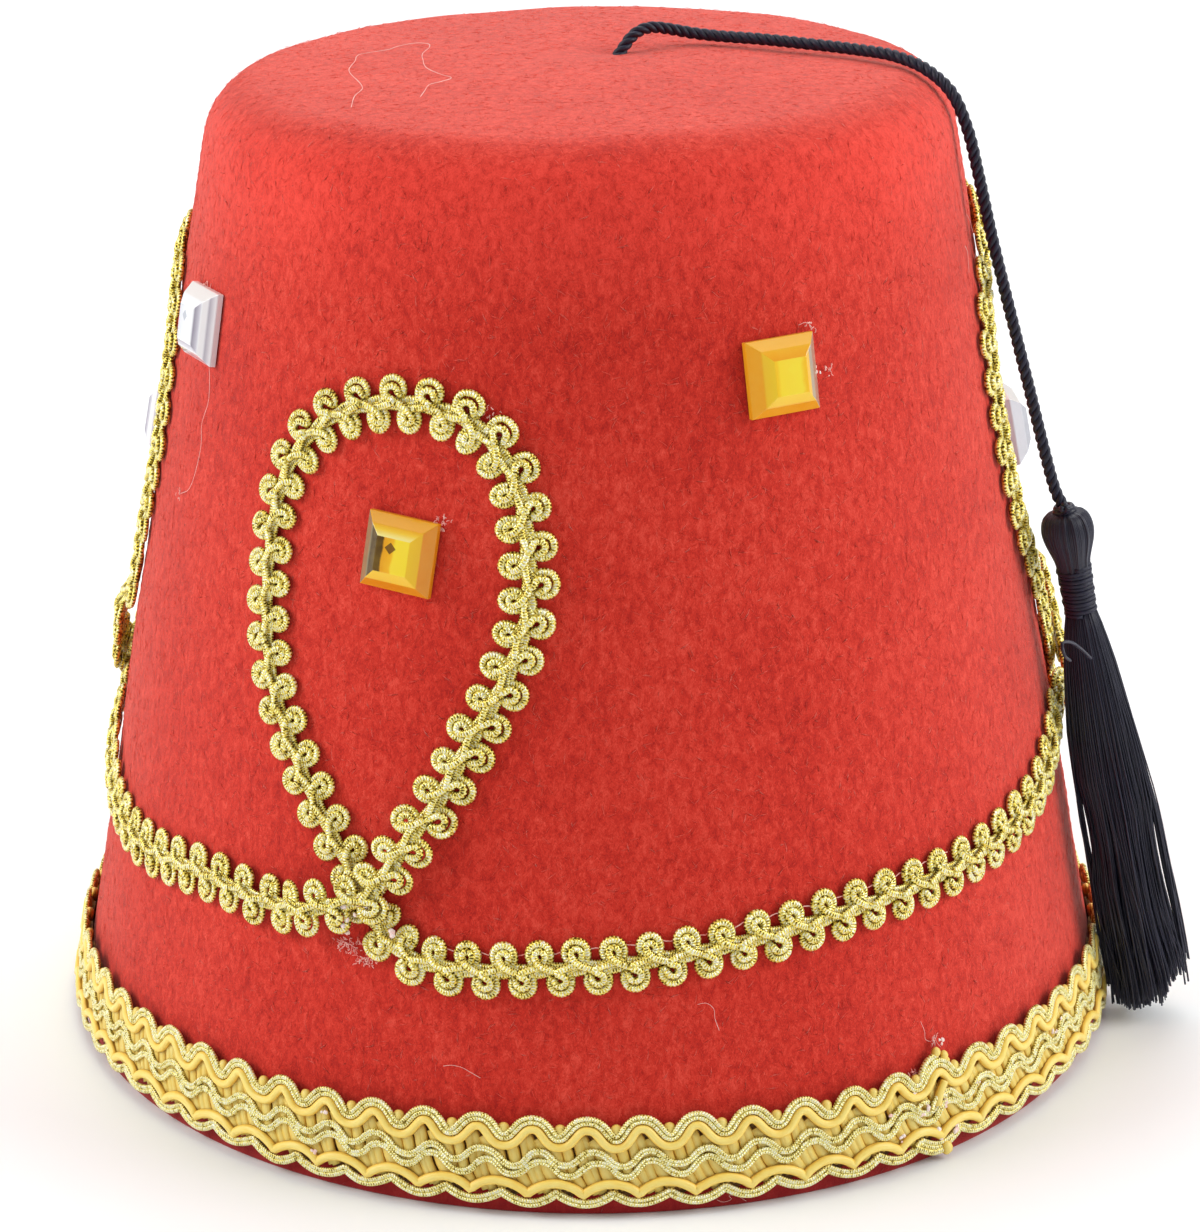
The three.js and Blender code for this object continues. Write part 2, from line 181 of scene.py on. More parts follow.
def ramp(tree, factor, *stops):
    node = addNode(tree, "ValToRGB", {"Fac": factor})
    elements = node.color_ramp.elements
    while len(elements) < len(stops):
        elements.new(0.5)
    for element, (place, colour) in zip(elements, stops):
        element.position = place
        element.color = (*colour, 1)
    return node.outputs["Color"]


def mixColour(tree, factor, a, b, blend="MIX"):
    node = addNode(tree, "Mix", {0: factor, 6: a, 7: b}, data_type="RGBA", blend_type=blend)
    return node.outputs[2]


def bump(tree, shader, height, strength, distance):
    node = addNode(tree, "Bump", {"Height": height, "Strength": strength, "Distance": distance})
    tree.links.new(node.outputs["Normal"], shader.inputs["Normal"])


def paint(tree, shader, socket, value):
    tree.links.new(value, shader.inputs[socket])


# a colour between two by noise, with the same noise as relief; stops are (place, colour)
def speckled(name, grain, stops, strength, depth, **settings):
    material, tree, shader = newMaterial(name, **settings)
    tone = noise(tree, objectPlace(tree), *grain)
    paint(tree, shader, "Base Color", ramp(tree, tone, *stops))
    bump(tree, shader, tone, strength, depth)
    return material


felt = {
    "deep": (0.42, 0.010, 0.0065),
    "body": (0.66, 0.028, 0.0135),
    "bright": (0.88, 0.088, 0.056),
    "edgeHighlight": (0.96, 0.062, 0.042),      # painted highlight where the light from above falls along the top edge
    # painted shade for the lowest part of the crown
    "rim": (0.26, 0.008, 0.016),
    "mottle": 800,           # patches to a metre
    "fibre": 2300,
    "napStretch": (1.0, 1.0, 0.55),
    "sheenWeight": 0.27,
    "sheenTint": (1.0, 0.74, 0.66),
    "relief": 0.0004,
    "fibres": 44000,
    "fibreLength": (0.8, 2.4),
    "fibreWidth": 0.03,
}


def feltMaterial(name, lightening=0.0):
    material, tree, shader = newMaterial(name, Roughness=0.9, Sheen_Weight=felt["sheenWeight"],
                                         Sheen_Roughness=0.5, Specular_IOR_Level=0.2)
    shader.inputs["Sheen Tint"].default_value = (*felt["sheenTint"], 1)
    nap = objectPlace(tree, felt["napStretch"])
    patches = noise(tree, nap, felt["mottle"], 5, 0.62, 0.6)
    fibres = noise(tree, nap, felt["fibre"], 4, 0.7, 2.2)
    broad = noise(tree, objectPlace(tree), 38, 2, 0.5)
    both = weigh(tree, -0.07, (patches, 0.45), (fibres, 0.55), (broad, 0.14))
    colour = ramp(tree, both, (0.37 - lightening, felt["deep"]), (0.5 - lightening, felt["body"]),
                  (0.66 - lightening, felt["bright"]))
    rise = maths(tree, "DIVIDE", axes(tree, objectPlace(tree))["Z"], crown["height"] * mm)
    # a painted highlight in a band along the top edge, broken up by the mottle
    edgeHighlight = ramp(tree, rise, (0.84, [0] * 3), (0.93, [0.75] * 3), (0.975, [0.7] * 3), (0.99, [0] * 3))
    edgeHighlight = maths(tree, "MULTIPLY", edgeHighlight, weigh(tree, -1.0, (both, 3.2)))
    colour = mixColour(tree, edgeHighlight, colour, (*felt["edgeHighlight"], 1))
    # painted shade on the lowest part of the crown, next to the table
    shaded = ramp(tree, rise, (0.008, [0.75] * 3), (0.04, [0] * 3))
    paint(tree, shader, "Base Color", mixColour(tree, shaded, colour, (*felt["rim"], 1)))
    bump(tree, shader, weigh(tree, 0.0, (fibres, 0.4), (patches, 0.6)), 0.5, felt["relief"])
    return material


def dress(obj, material, slot, *nodes):
    obj.data.materials.clear()
    obj.data.materials.append(material)
    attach(obj, "root")
    if nodes:
        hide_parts(*nodes)
    return obj


# making meshes

# one object from an array of points and arrays of faces, each array with its own number of corners to a
# face; the map belongs to the first array and follows the cord
def meshFromArrays(name, points, faceSets, firstMap=None):
    mesh = bpy.data.meshes.new(name)
    faceSets = [np.asarray(faces, dtype=np.int32) for faces in faceSets if len(faces)]
    corners = np.concatenate([faces.ravel() for faces in faceSets])
    totals = np.concatenate([np.full(len(faces), faces.shape[1], dtype=np.int32) for faces in faceSets])
    starts = np.concatenate([[0], np.cumsum(totals)[:-1]]).astype(np.int32)
    mesh.vertices.add(len(points))
    mesh.vertices.foreach_set("co", (np.asarray(points) * mm).astype(np.float32).ravel())
    mesh.loops.add(len(corners))
    mesh.loops.foreach_set("vertex_index", corners)
    mesh.polygons.add(len(totals))
    mesh.polygons.foreach_set("loop_start", starts)
    mesh.polygons.foreach_set("loop_total", totals)
    mesh.polygons.foreach_set("use_smooth", np.ones(len(totals), dtype=bool))
    if firstMap is not None:
        flat = np.zeros((len(corners), 2), dtype=np.float32)
        flat[:len(firstMap)] = firstMap
        layer = mesh.uv_layers.new(name="wrap")
        layer.data.foreach_set("uv", flat.ravel())
    mesh.update(calc_edges=True)
    mesh.validate()
    obj = bpy.data.objects.new(name, mesh)
    bpy.context.scene.collection.objects.link(obj)
    return obj


# cords of any number in one mesh: each run has its line, the way that is up at each point, and its
# half-width and half-height; the map holds the way round from 0 to 1 and the way along in millimetres
def cordMesh(name, runs, sides=7):
    points, quads, ends, quadMap = [], [], [], []
    base = 0
    angles = 2 * np.pi * np.arange(sides) / sides
    for run in runs:
        line, up = np.asarray(run["line"]), np.asarray(run["up"])
        closed = run.get("closed", False)
        count = len(line)
        if closed:
            along = np.roll(line, -1, axis=0) - np.roll(line, 1, axis=0)
        else:
            along = np.gradient(line, axis=0)
        along /= np.linalg.norm(along, axis=1, keepdims=True) + 1e-12
        side = np.cross(along, up)
        side /= np.linalg.norm(side, axis=1, keepdims=True) + 1e-12
        rise = np.cross(side, along)
        wide = np.broadcast_to(run["wide"], count)[:, None, None]
        high = np.broadcast_to(run.get("high", run["wide"]), count)[:, None, None]
        ring = (line[:, None, :] + side[:, None, :] * np.cos(angles)[None, :, None] * wide
                + rise[:, None, :] * np.sin(angles)[None, :, None] * high)
        points.append(ring.reshape(-1, 3))
        last = count if closed else count - 1
        i = np.arange(last)[:, None]
        k = np.arange(sides)[None, :]
        here, there = i * sides, ((i + 1) % count) * sides
        turn = (k + 1) % sides
        faces = np.stack(np.broadcast_arrays(here + k, there + k, there + turn, here + turn), axis=-1)
        quads.append(faces.reshape(-1, 4) + base)
        steps = np.linalg.norm(np.diff(line, axis=0, append=line[:1]), axis=1)
        travel = np.concatenate([[0], np.cumsum(steps)])
        low, far = travel[:last][:, None], travel[1:last + 1][:, None]
        u0, u1 = k / sides, (k + 1) / sides
        mapCorners = ((u0, low), (u0, far), (u1, far), (u1, low))
        uv = np.stack([np.stack(np.broadcast_arrays(*corner), -1) for corner in mapCorners], axis=2)
        quadMap.append(uv.reshape(-1, 2))
        if not closed:
            ends.append(base + np.arange(sides))
            ends.append(base + count * sides - 1 - np.arange(sides))
        base += count * sides
    faceSets = [np.concatenate(quads), ends]
    return meshFromArrays(name, np.concatenate(points), faceSets, np.concatenate(quadMap))


def deselectAll():
    for obj in bpy.context.selected_objects:
        obj.select_set(False)


def startPiece(name):
    piece = bpy.context.object
    piece.name = name
    piece.data.name = name
    return piece


def applyModifier(obj, kind, **settings):
    deselectAll()
    obj.select_set(True)
    bpy.context.view_layer.objects.active = obj
    modifier = obj.modifiers.new(kind.title(), kind)
    for key, value in settings.items():
        setattr(modifier, key, value)
    bpy.ops.object.modifier_apply(modifier=modifier.name)


# the view: the hat stands right of the lens's middle, so the frame is shifted across

view = {
    "distance": 608.49,
    "height": 290.23,
    "pitch": 19.95,
    "yaw": 4.68,
    "roll": -2.22,
    "focalPixels": 3666.57,
    "frameHeight": 1232,
    "shiftPixels": 300,
}


def makeCamera():
    bpy.ops.object.camera_add(location=(0, -view["distance"] * mm, view["height"] * mm))
    camera = bpy.context.object
    camera.name = "camera"
    pitch, yaw, roll = (math.radians(view[key]) for key in ("pitch", "yaw", "roll"))
    right = Vector((math.cos(yaw), math.sin(yaw), 0))
    back = Vector((math.cos(pitch) * math.sin(yaw), -math.cos(pitch) * math.cos(yaw), math.sin(pitch)))
    up = back.cross(right)
    turnedRight = math.cos(roll) * right + math.sin(roll) * up
    turnedUp = -math.sin(roll) * right + math.cos(roll) * up
    facing = Matrix((turnedRight, turnedUp, back)).transposed()
    camera.rotation_euler = facing.to_euler()
    camera.data.sensor_width = 36
    camera.data.lens = view["focalPixels"] / view["frameHeight"] * 36
    camera.data.shift_x = view["shiftPixels"] / view["frameHeight"]
    camera.data.clip_end = 20
    bpy.context.scene.camera = camera


makeCamera()

# the tassel and the cord, with the sizes and points of the part's source
tassel = {
    "headDiameter": 8.7,
    "headLength": 10.0,
    "neckDiameter": 4.2,
    "neckLength": 8.0,
    "skirtDiameter": 13.0,
    "skirtLength": 75.0,
    "foot": 0.8,
    "leanGap": 0.6,
}
hemFoot, hemWidth, hemThickness, scrollThickness = 1.3, 14.8, 2.2, 2.0


def tasselLine():
    length = tassel["headLength"] + tassel["neckLength"] + tassel["skirtLength"]
    half = tassel["skirtDiameter"] / 2
    overScroll = seatGap + scrollThickness + tassel["leanGap"] + half * 0.84
    overHem = seatGap + hemThickness + tassel["leanGap"] + half
    rows = [
        (77.7, tassel["foot"] + length * 0.983, 8.2),
        (78.5, tassel["foot"] + length * 0.6, overScroll),
        (79.2, hemFoot + hemWidth, overHem),
        (79.5, tassel["foot"] + half * math.sin(flankLean), overHem),
    ]
    points = []
    for azimuth, height, standOff in rows:
        reach = flankRadius(height) + standOff
        angle = math.radians(azimuth)
        points.append((math.sin(angle) * reach, -math.cos(angle) * reach, height))
    return evenLine(smoothLine(points, 40), 0.5)


hangLine = tasselLine()
hangLength = (len(hangLine) - 1) * float(np.linalg.norm(hangLine[1] - hangLine[0]))


def hangPoint(down):
    place = min(len(hangLine) - 1.0, max(0.0, down / hangLength * (len(hangLine) - 1)))
    low = min(len(hangLine) - 2, int(place))
    return hangLine[low] + (hangLine[low + 1] - hangLine[low]) * (place - low)


cord = {
    "diameter": 2.0,
    "hole": (7.8, 3.0),
    "knotDiameter": 5.2,
    "coreDepth": 34.0,
    "plies": 3,
    "twistPitch": 4.6,
    "points": [
        (9.1, 3.9, 169.55), (10.7, 4.9, 170.6), (12.8, 6, 170.9), (16, 7.1, 170.3), (19.5, 7.6, 169.5),
        (24, 7.2, 168.95), (31, 5, 168.7), (39, 2.3, 168.2), (46, -1, 167.85), (52, -5.2, 167.5),
        (57, -9.5, 166), (60.9, -12.4, 162.7), (63.4, -13.8, 157.2), (65.5, -14.5, 149),
        (67.7, -14.9, 139.5), (70, -15.3, 130.5), (72.5, -15.8, 121), (75, -16.3, 111.5),
        (77.2, -16.8, 103), (79.2, -17.2, 96),
    ],
}


def cordRoute():
    x, y = cord["hole"]
    mouth = np.array([x, y, topHeight(math.hypot(x, y))])
    first = np.array(cord["points"][0])
    axis = np.array([first[0] - x, first[1] - y, 0.0])
    axis /= np.linalg.norm(axis)
    axis[2] = 1
    axis /= np.linalg.norm(axis)
    drop = crown["feltThickness"] + seatGap + cord["knotDiameter"] / 2
    knot = mouth - axis * drop / axis[2]
    start = knot + axis * (cord["knotDiameter"] / 2 + seatGap)
    inside = [hangPoint(cord["coreDepth"] * share) for share in (0, 0.35, 0.7, 1)]
    return [start, start + (mouth - start) * 0.6, mouth, *map(np.array, cord["points"]), *inside], mouth


# a frame that turns as little as it can along a line
def easyUp(line):
    along = np.gradient(line, axis=0)
    along /= np.linalg.norm(along, axis=1, keepdims=True)
    up = np.cross(along[0], (0.3, 1, 0.1))
    ups = []
    for direction in along:
        up = up - direction * np.dot(up, direction)
        up /= np.linalg.norm(up)
        ups.append(up)
    return along, np.array(ups)


# plies wound round each other along a line
def twist(line, plies, radius, pitch, start=0.0):
    along, up = easyUp(line)
    side = np.cross(along, up)
    travel = np.concatenate([[0], np.cumsum(np.linalg.norm(np.diff(line, axis=0), axis=1))])
    spread = radius / (1 + math.sin(math.pi / plies)) if plies > 1 else 0
    thick = radius - spread
    runs = []
    for ply in range(plies):
        angle = (2 * np.pi * (travel / pitch + ply / plies) + start)[:, None]
        runs.append({"line": line + spread * (np.cos(angle) * up + np.sin(angle) * side),
                     "up": np.cos(angle) * up + np.sin(angle) * side, "wide": thick * 1.12})
    return runs


blackThread = {
    "body": (0.0045, 0.0042, 0.0085),
    "sheen": (0.018, 0.018, 0.054),
    "fineness": 2600,
}


def blackMaterial(name, alongScale, roughness, level):
    material, tree, shader = newMaterial(name, Roughness=roughness, Specular_IOR_Level=level,
                                         Sheen_Weight=0.08, Sheen_Roughness=0.4)
    shader.inputs["Sheen Tint"].default_value = (0.62, 0.64, 1.0, 1)
    stretched = addNode(tree, "Mapping", {"Vector": wrapMap(tree), "Scale": (9, alongScale, 1)}).outputs[0]
    hairs = noise(tree, stretched, 1.0, 3, 0.6)
    specks = noise(tree, objectPlace(tree), blackThread["fineness"], 2)
    mixed = weigh(tree, 0.0, (specks, 0.3), (hairs, 0.7))
    colour = ramp(tree, mixed, (0.35, blackThread["body"]), (0.75, blackThread["sheen"]))
    paint(tree, shader, "Base Color", colour)
    bump(tree, shader, mixed, 0.5, 0.0003)
    return material


def makeCord():
    points, mouth = cordRoute()
    line = evenLine(smoothLine(points, 16), 0.4)
    piece = cordMesh("twisted_cord", twist(line, cord["plies"], cord["diameter"] / 2, cord["twistPitch"]), 8)
    dress(piece, blackMaterial("black cord", 0.8, 0.5, 0.4), "black_cord", "tassel_cord")
    return piece, mouth, line


cordPiece, cordMouth, cordLine = makeCord()


# the crown: a ring at the rim, pulled up and drawn in row by row, then given its thickness
def crownRows():
    rows = []
    for i in range(1, crown["flankRows"] + 1):
        height = shoulderHeight * i / crown["flankRows"]
        rows.append((flankRadius(height), height))
    rows[-1] = (flatRadius + crown["shoulderRadius"] * math.cos(flankLean),
                shoulderHeight + crown["shoulderRadius"] * math.sin(flankLean))
    for i in range(1, crown["shoulderRows"] + 1):
        angle = flankLean + (math.pi / 2 - flankLean) * i / crown["shoulderRows"]
        rows.append((flatRadius + crown["shoulderRadius"] * math.cos(angle),
                     shoulderHeight + crown["shoulderRadius"] * math.sin(angle)))
    for i in range(1, crown["topRows"]):
        radius = flatRadius * (1 - i / crown["topRows"])
        rows.append((radius, topHeight(radius)))
    return rows


def makeCrown():
    deselectAll()
    bpy.ops.mesh.primitive_circle_add(vertices=crown["sides"], radius=crown["rimRadius"] * mm)
    piece = startPiece("felt_body")
    bpy.ops.object.mode_set(mode="EDIT")
    bpy.ops.mesh.select_all(action="SELECT")
    radius, height = crown["rimRadius"], 0.0
    for newRadius, newHeight in crownRows():
        bpy.ops.mesh.extrude_region_move(TRANSFORM_OT_translate={"value": (0, 0, (newHeight - height) * mm)})
        share = newRadius / radius
        bpy.ops.transform.resize(value=(share, share, 1), center_override=(0, 0, newHeight * mm))
        radius, height = newRadius, newHeight
    bpy.ops.mesh.extrude_region_move(TRANSFORM_OT_translate={"value": (0, 0, crown["topDome"] * 0.01 * mm)})
    bpy.ops.mesh.merge(type="CENTER")
    bpy.ops.mesh.select_all(action="SELECT")
    bpy.ops.mesh.normals_make_consistent(inside=False)
    bpy.ops.object.mode_set(mode="OBJECT")
    settleFelt(piece)
    applyModifier(piece, "SOLIDIFY", thickness=crown["feltThickness"] * mm, offset=-1, use_even_offset=True)
    applyModifier(piece, "BEVEL", width=0.35 * mm, segments=2, limit_method="ANGLE", angle_limit=1.0)
    for vertex in piece.data.vertices:
        vertex.co.z = max(0.0, vertex.co.z)
    bpy.ops.object.shade_smooth()
    return dress(piece, feltMaterial("red felt"), "red_felt", "felt_crown")


# soft unevenness of hand-shaped felt, and the dimple that the cord pulls at its hole
def settleFelt(piece):
    holeX, holeY = cord["hole"]
    for vertex in piece.data.vertices:
        place = vertex.co / mm
        outside = Vector((place.x, place.y, 0))
        onTop = place.z > shoulderHeight + crown["shoulderRadius"] * 0.8
        push = Vector((0, 0, 1)) if onTop or outside.length < 1 else outside.normalized()
        fade = min(1.0, place.z / 12)
        amount = crown["unevenness"] * fade * field.noise(place / 26)
        amount += 0.5 * crown["unevenness"] * fade * field.noise(place / 11 + Vector((9, 4, 1)))
        if onTop:
            near = math.hypot(place.x - holeX, place.y - holeY)
            amount -= 0.5 * math.exp(-(near / 5) ** 2)
        vertex.co += push * (amount - 0.15) * mm


crownPiece = makeCrown()
print("crown:", len(crownPiece.data.polygons), "faces")


# the crown's faces outside the hem braid. A bevel may leave them in another order each run, so they are
# sorted by their corners, and fromLowest starts each one at the same corner
def outerFaces(mesh):
    outer = []
    for face in mesh.polygons:
        middle = face.center / mm
        outward = Vector((middle.x, middle.y, 0)).normalized()
        facesOut = face.normal.dot(outward) > 0.3 or (face.normal.z > 0.5 and middle.z > shoulderHeight)
        bare = middle.z > 15 or middle.z < 1.6
        if facesOut and bare and len(face.vertices) == 4 and face.normal.z > -0.5:
            outer.append(face)
    return sorted(outer, key=lambda face: sorted(face.vertices))


def fromLowest(corners):
    first = corners.index(min(corners))
    return corners[first:] + corners[:first]


# loose wool fibres that lie on the felt every way and stand a little off it: slender closed spikes
def makeFuzz():
    mesh = crownPiece.data
    outer = outerFaces(mesh)
    areas = np.array([face.area for face in outer])
    corners = np.array([[tuple(mesh.vertices[i].co / mm) for i in fromLowest(list(face.vertices))]
                        for face in outer])
    normals = np.array([tuple(face.normal) for face in outer])
    pick = dice.choice(len(outer), felt["fibres"], p=areas / areas.sum())
    u, v = dice.uniform(0, 1, (2, len(pick), 1))
    a, b, c, d = (corners[pick, k] for k in range(4))
    root = a * (1 - u) * (1 - v) + b * u * (1 - v) + c * u * v + d * (1 - u) * v
    normal = normals[pick]
    lie = dice.normal(0, 1, root.shape)
    nearFloor = root[:, 2] < felt["fibreLength"][1]
    lie[nearFloor, 2] = np.abs(lie[nearFloor, 2]) + 0.3
    lie -= normal * np.sum(lie * normal, axis=1, keepdims=True)
    lie /= np.linalg.norm(lie, axis=1, keepdims=True)
    lift = dice.uniform(0.0, 0.05, (len(pick), 1))
    length = dice.uniform(*felt["fibreLength"], (len(pick), 1))
    side = np.cross(normal, lie) * felt["fibreWidth"]
    root = root - normal * 0.03
    tip = root + (lie + normal * lift) / np.sqrt(1 + lift ** 2) * length
    middle = (root + tip) / 2 + normal * (0.03 + 0.02 * length) + side * dice.normal(0, 2.5, (len(pick), 1))
    ridge = middle + normal * felt["fibreWidth"] * 0.6
    points = np.stack([root - side / 2, root + side / 2, ridge, tip], axis=1)
    points[:, :, 2] = np.maximum(points[:, :, 2], 0.0)
    base = np.arange(len(pick))[:, None] * 4
    faces = np.concatenate([base + np.array(t) for t in ((0, 2, 1), (0, 3, 2), (1, 2, 3), (0, 1, 3))])
    piece = meshFromArrays("felt_fibres", points.reshape(-1, 3), [faces])
    return dress(piece, feltMaterial("loose fibres", 0.32), "red_felt", "felt_crown")


fuzzPiece = makeFuzz()
print("felt fibres:", len(fuzzPiece.data.polygons), "faces")

# the scroll braid: the strip's way round the hat, as in the part's source
scroll = {
    "pitch": 5.8,
    "loopHalfWidth": 22.8,
    "loopHeight": 78.0,
    "cordWidth": 0.65,       # half the width of the metal-wrapped cord
    "cordHeight": 0.52,
    "step": 0.46,
    "loops": [(-97, 0.355), (-24.2, 0.292), (92, 0.367), (178, 0.301)],
    "route": [               # across, up, and whether it lies on its other strand
        (-0.8, -0.062, 0), (-0.45, -0.045, 1), (-0.2, -0.02, 1), (0.01, 0.005, 1), (0.17, 0.07, 1),
        (0.3, 0.135, 1), (0.48, 0.225, 0), (0.68, 0.35, 0), (0.89, 0.476, 0), (1, 0.6, 0),
        (0.97, 0.735, 0), (0.85, 0.87, 0), (0.55, 0.97, 0), (0.1, 1, 0), (-0.4, 0.97, 0),
        (-0.77, 0.88, 0), (-0.95, 0.77, 0), (-1.01, 0.64, 0), (-1, 0.52, 0), (-0.92, 0.4, 0),
        (-0.73, 0.29, 0), (-0.49, 0.18, 0), (-0.26, 0.09, 0), (-0.07, 0.02, 0), (0.07, -0.055, 0),
        (0.26, -0.1, 0), (0.52, -0.12, 0),
    ],
    "swags": [               # azimuth, and height in shares of the crown's
        [(-74, 0.264), (-62, 0.254), (-48, 0.265)],
        [(2, 0.243), (28, 0.266), (54, 0.28), (67, 0.3)],
        [(114, 0.275), (130, 0.262), (150, 0.268)],
        [(203, 0.25), (222, 0.262), (239, 0.29)],
    ],
}


def scrollStrip():
    points = []
    for number, (azimuth, foot) in enumerate(scroll["loops"]):
        low = foot * crown["height"]
        for across, up, over in scroll["route"]:
            height = low + up * scroll["loopHeight"]
            turn = math.degrees(across * scroll["loopHalfWidth"] / flankRadius(height))
            points.append((azimuth + turn, height, over))
        for swagAzimuth, share in scroll["swags"][number]:
            points.append((swagAzimuth, share * crown["height"], 0))
    fullTurn = np.array([360.0, 0, 0])
    before = np.array(points[-1]) - fullTurn
    after = [np.array(points[0]) + fullTurn, np.array(points[1]) + fullTurn]
    line = smoothLine([*points, after[0]], 24, (before, after[1]))
    middle = (line[1:] + line[:-1]) / 2
    across = np.radians(np.diff(line[:, 0])) * flankRadius(middle[:, 1])
    up = np.diff(line[:, 1]) / math.cos(flankLean)
    travel = np.concatenate([[0], np.cumsum(np.hypot(across, up))])
    count = round(travel[-1] / scroll["pitch"])
    return line, travel, count, travel[-1] / count


stripLine, stripTravel, ringCount, ringPitch = scrollStrip()
stripLength = stripTravel[-1]


# a place on the strip: along it, to the left of it and off the felt, all in millimetres
def onStrip(along, left, off):
    wrapped = np.mod(along, stripLength)
    turns = np.floor_divide(along, stripLength) * 360
    azimuth = np.interp(wrapped, stripTravel, stripLine[:, 0]) + turns
    height = np.interp(wrapped, stripTravel, stripLine[:, 1])
    over = np.interp(wrapped, stripTravel, stripLine[:, 2])
    reach = 1.5
    ahead, behind = np.mod(along + reach, stripLength), np.mod(along - reach, stripLength)
    turn = np.interp(ahead, stripTravel, stripLine[:, 0]) - np.interp(behind, stripTravel, stripLine[:, 0])
    turn = np.mod(turn + 540, 360) - 180
    rise = np.interp(ahead, stripTravel, stripLine[:, 1]) - np.interp(behind, stripTravel, stripLine[:, 1])
    headX, headY = np.radians(turn) * flankRadius(height), rise / math.cos(flankLean)
    size = np.hypot(headX, headY)
    headX, headY = headX / size, headY / size
    lift = over * over * (3 - 2 * over) * (scrollThickness + seatGap)
    newHeight = height + headX * left * math.cos(flankLean)
    newAzimuth = azimuth + np.degrees(-headY * left / flankRadius(newHeight))
    standOff = seatGap + off + lift
    return onFlank(newAzimuth, newHeight, standOff), flankNormal(newAzimuth)


# one pitch of each of the two cords that make the braid, in millimetres from a ring's middle:
# along, left and off. The first curls into a ring with a small eye on the left edge, the second into
# an open crescent on the right edge
eyeCurl = [
    (-0.9, -0.15, 0.45), (0.55, 0.4, 0.45), (1.4, 1.25, 0.5), (1.66, 2.35, 0.5), (1.22, 3.6, 0.5),
    (0, 4.14, 0.5), (-1.22, 3.6, 0.5), (-1.68, 2.35, 0.5), (-1.28, 1.2, 0.55), (-0.3, 0.9, 0.75),
    (0.62, 1.4, 0.85), (0.84, 2.25, 0.8), (0.1, 2.98, 0.75), (-0.75, 2.5, 0.85), (-0.6, 1.65, 1.2),
    (0.2, 0.75, 1.5), (1.5, 0.0, 1.35), (2.9, -0.5, 1.0), (4.0, -0.55, 0.7),
]
crescentCurl = [
    (-1.3, 0.2, 0.5), (0.3, -0.25, 0.45), (1.5, -1.15, 0.5), (1.75, -2.3, 0.5), (1.27, -3.6, 0.5),
    (0, -4.14, 0.5), (-1.27, -3.6, 0.5), (-1.75, -2.3, 0.5), (-1.4, -1.3, 0.75), (-1.0, -1.85, 1.05),
    (-0.65, -2.55, 1.1), (0.1, -2.8, 1.1), (0.8, -2.3, 1.15), (0.8, -1.35, 1.4), (0.0, -0.8, 1.55),
    (-0.6, -0.4, 1.5), (0.6, 0.1, 1.55), (2.1, 0.45, 1.2), (3.6, 0.5, 0.8),
]


def curlRun(curl, first, last, shift):
    points = []
    for number in range(first, last):
        middle = (number + shift) * ringPitch
        wobble = dice.normal(0, 0.07, 3)
        size = 1 + dice.normal(0, 0.025)
        for along, left, off in curl:
            points.append((middle + along * size + wobble[0], left * size + wobble[1], off))
    flat = evenLine(smoothLine(points, 5), scroll["step"])
    place, up = onStrip(flat[:, 0], flat[:, 1], flat[:, 2])
    return {"line": place, "up": up, "wide": scroll["cordWidth"], "high": scroll["cordHeight"]}


# two straight cords under the plait, which close it
def coreRun(first, last, side):
    along = np.arange(first * ringPitch, last * ringPitch, 0.8)
    sway = 0.18 * np.sin(2 * np.pi * along / ringPitch + side)
    place, up = onStrip(along, side * 0.55 + sway, np.full(len(along), 0.45))
    return {"line": place, "up": up, "wide": 0.7, "high": 0.42}


# tints of the two golds: dark is the painted shade in the grooves, glint a painted highlight
gimpGold = {
    "dark": (0.10, 0.062, 0.004),
    "body": (0.95, 0.69, 0.07),
    "bright": (1.0, 0.94, 0.30),
    "glint": (1.0, 0.98, 0.76),
}
hemGold = {
    "dark": (0.30, 0.21, 0.02),
    "body": (1.0, 0.83, 0.21),
    "bright": (1.0, 0.97, 0.46),
    "glint": (1.0, 0.99, 0.76),
}


# 1 along the top of a cord, 0 along its sides and below: a mask for painted light on top and painted shade at
# the sides
def paintedTopLight(tree, wayRound):
    return maths(tree, "MAXIMUM", maths(tree, "SINE", maths(tree, "MULTIPLY", wayRound, 2 * math.pi)), 0.0)


# metal threads wound both ways round a core, which gives it beads: ridge is the way from one turn to the
# next in millimetres, and lead how many turns fit round the core
def wrappedMaterial(name, tints, ridge, metallic, roughness, lead):
    material, tree, shader = newMaterial(name, Metallic=metallic, Roughness=roughness)
    parts = axes(tree, wrapMap(tree))
    along = maths(tree, "MULTIPLY", parts["Y"], 2 * math.pi / ridge)
    leads = [maths(tree, "SINE", maths(tree, "MULTIPLY_ADD", parts["X"], 2 * math.pi * turn, along))
             for turn in (lead, -lead)]
    wave = weigh(tree, 0.5, *((lead, 0.25) for lead in leads))
    specks = noise(tree, objectPlace(tree), 1500, 2, 0.6)
    broad = noise(tree, objectPlace(tree), 240, 2, 0.5)
    # painted shade in the grooves between beads and on the cord's sides, painted light on top and painted
    # glints
    shade = weigh(tree, -0.86, (specks, 1.5), (wave, 0.5), (broad, 0.3), (paintedTopLight(tree, parts["X"]), 0.22))
    colour = ramp(tree, shade, (0.17, tints["dark"]), (0.32, tints["body"]), (0.54, tints["bright"]),
                  (0.72, tints["glint"]))
    paint(tree, shader, "Base Color", colour)
    bump(tree, shader, weigh(tree, wave, (specks, 0.3)), 0.8, 0.00018)
    return material


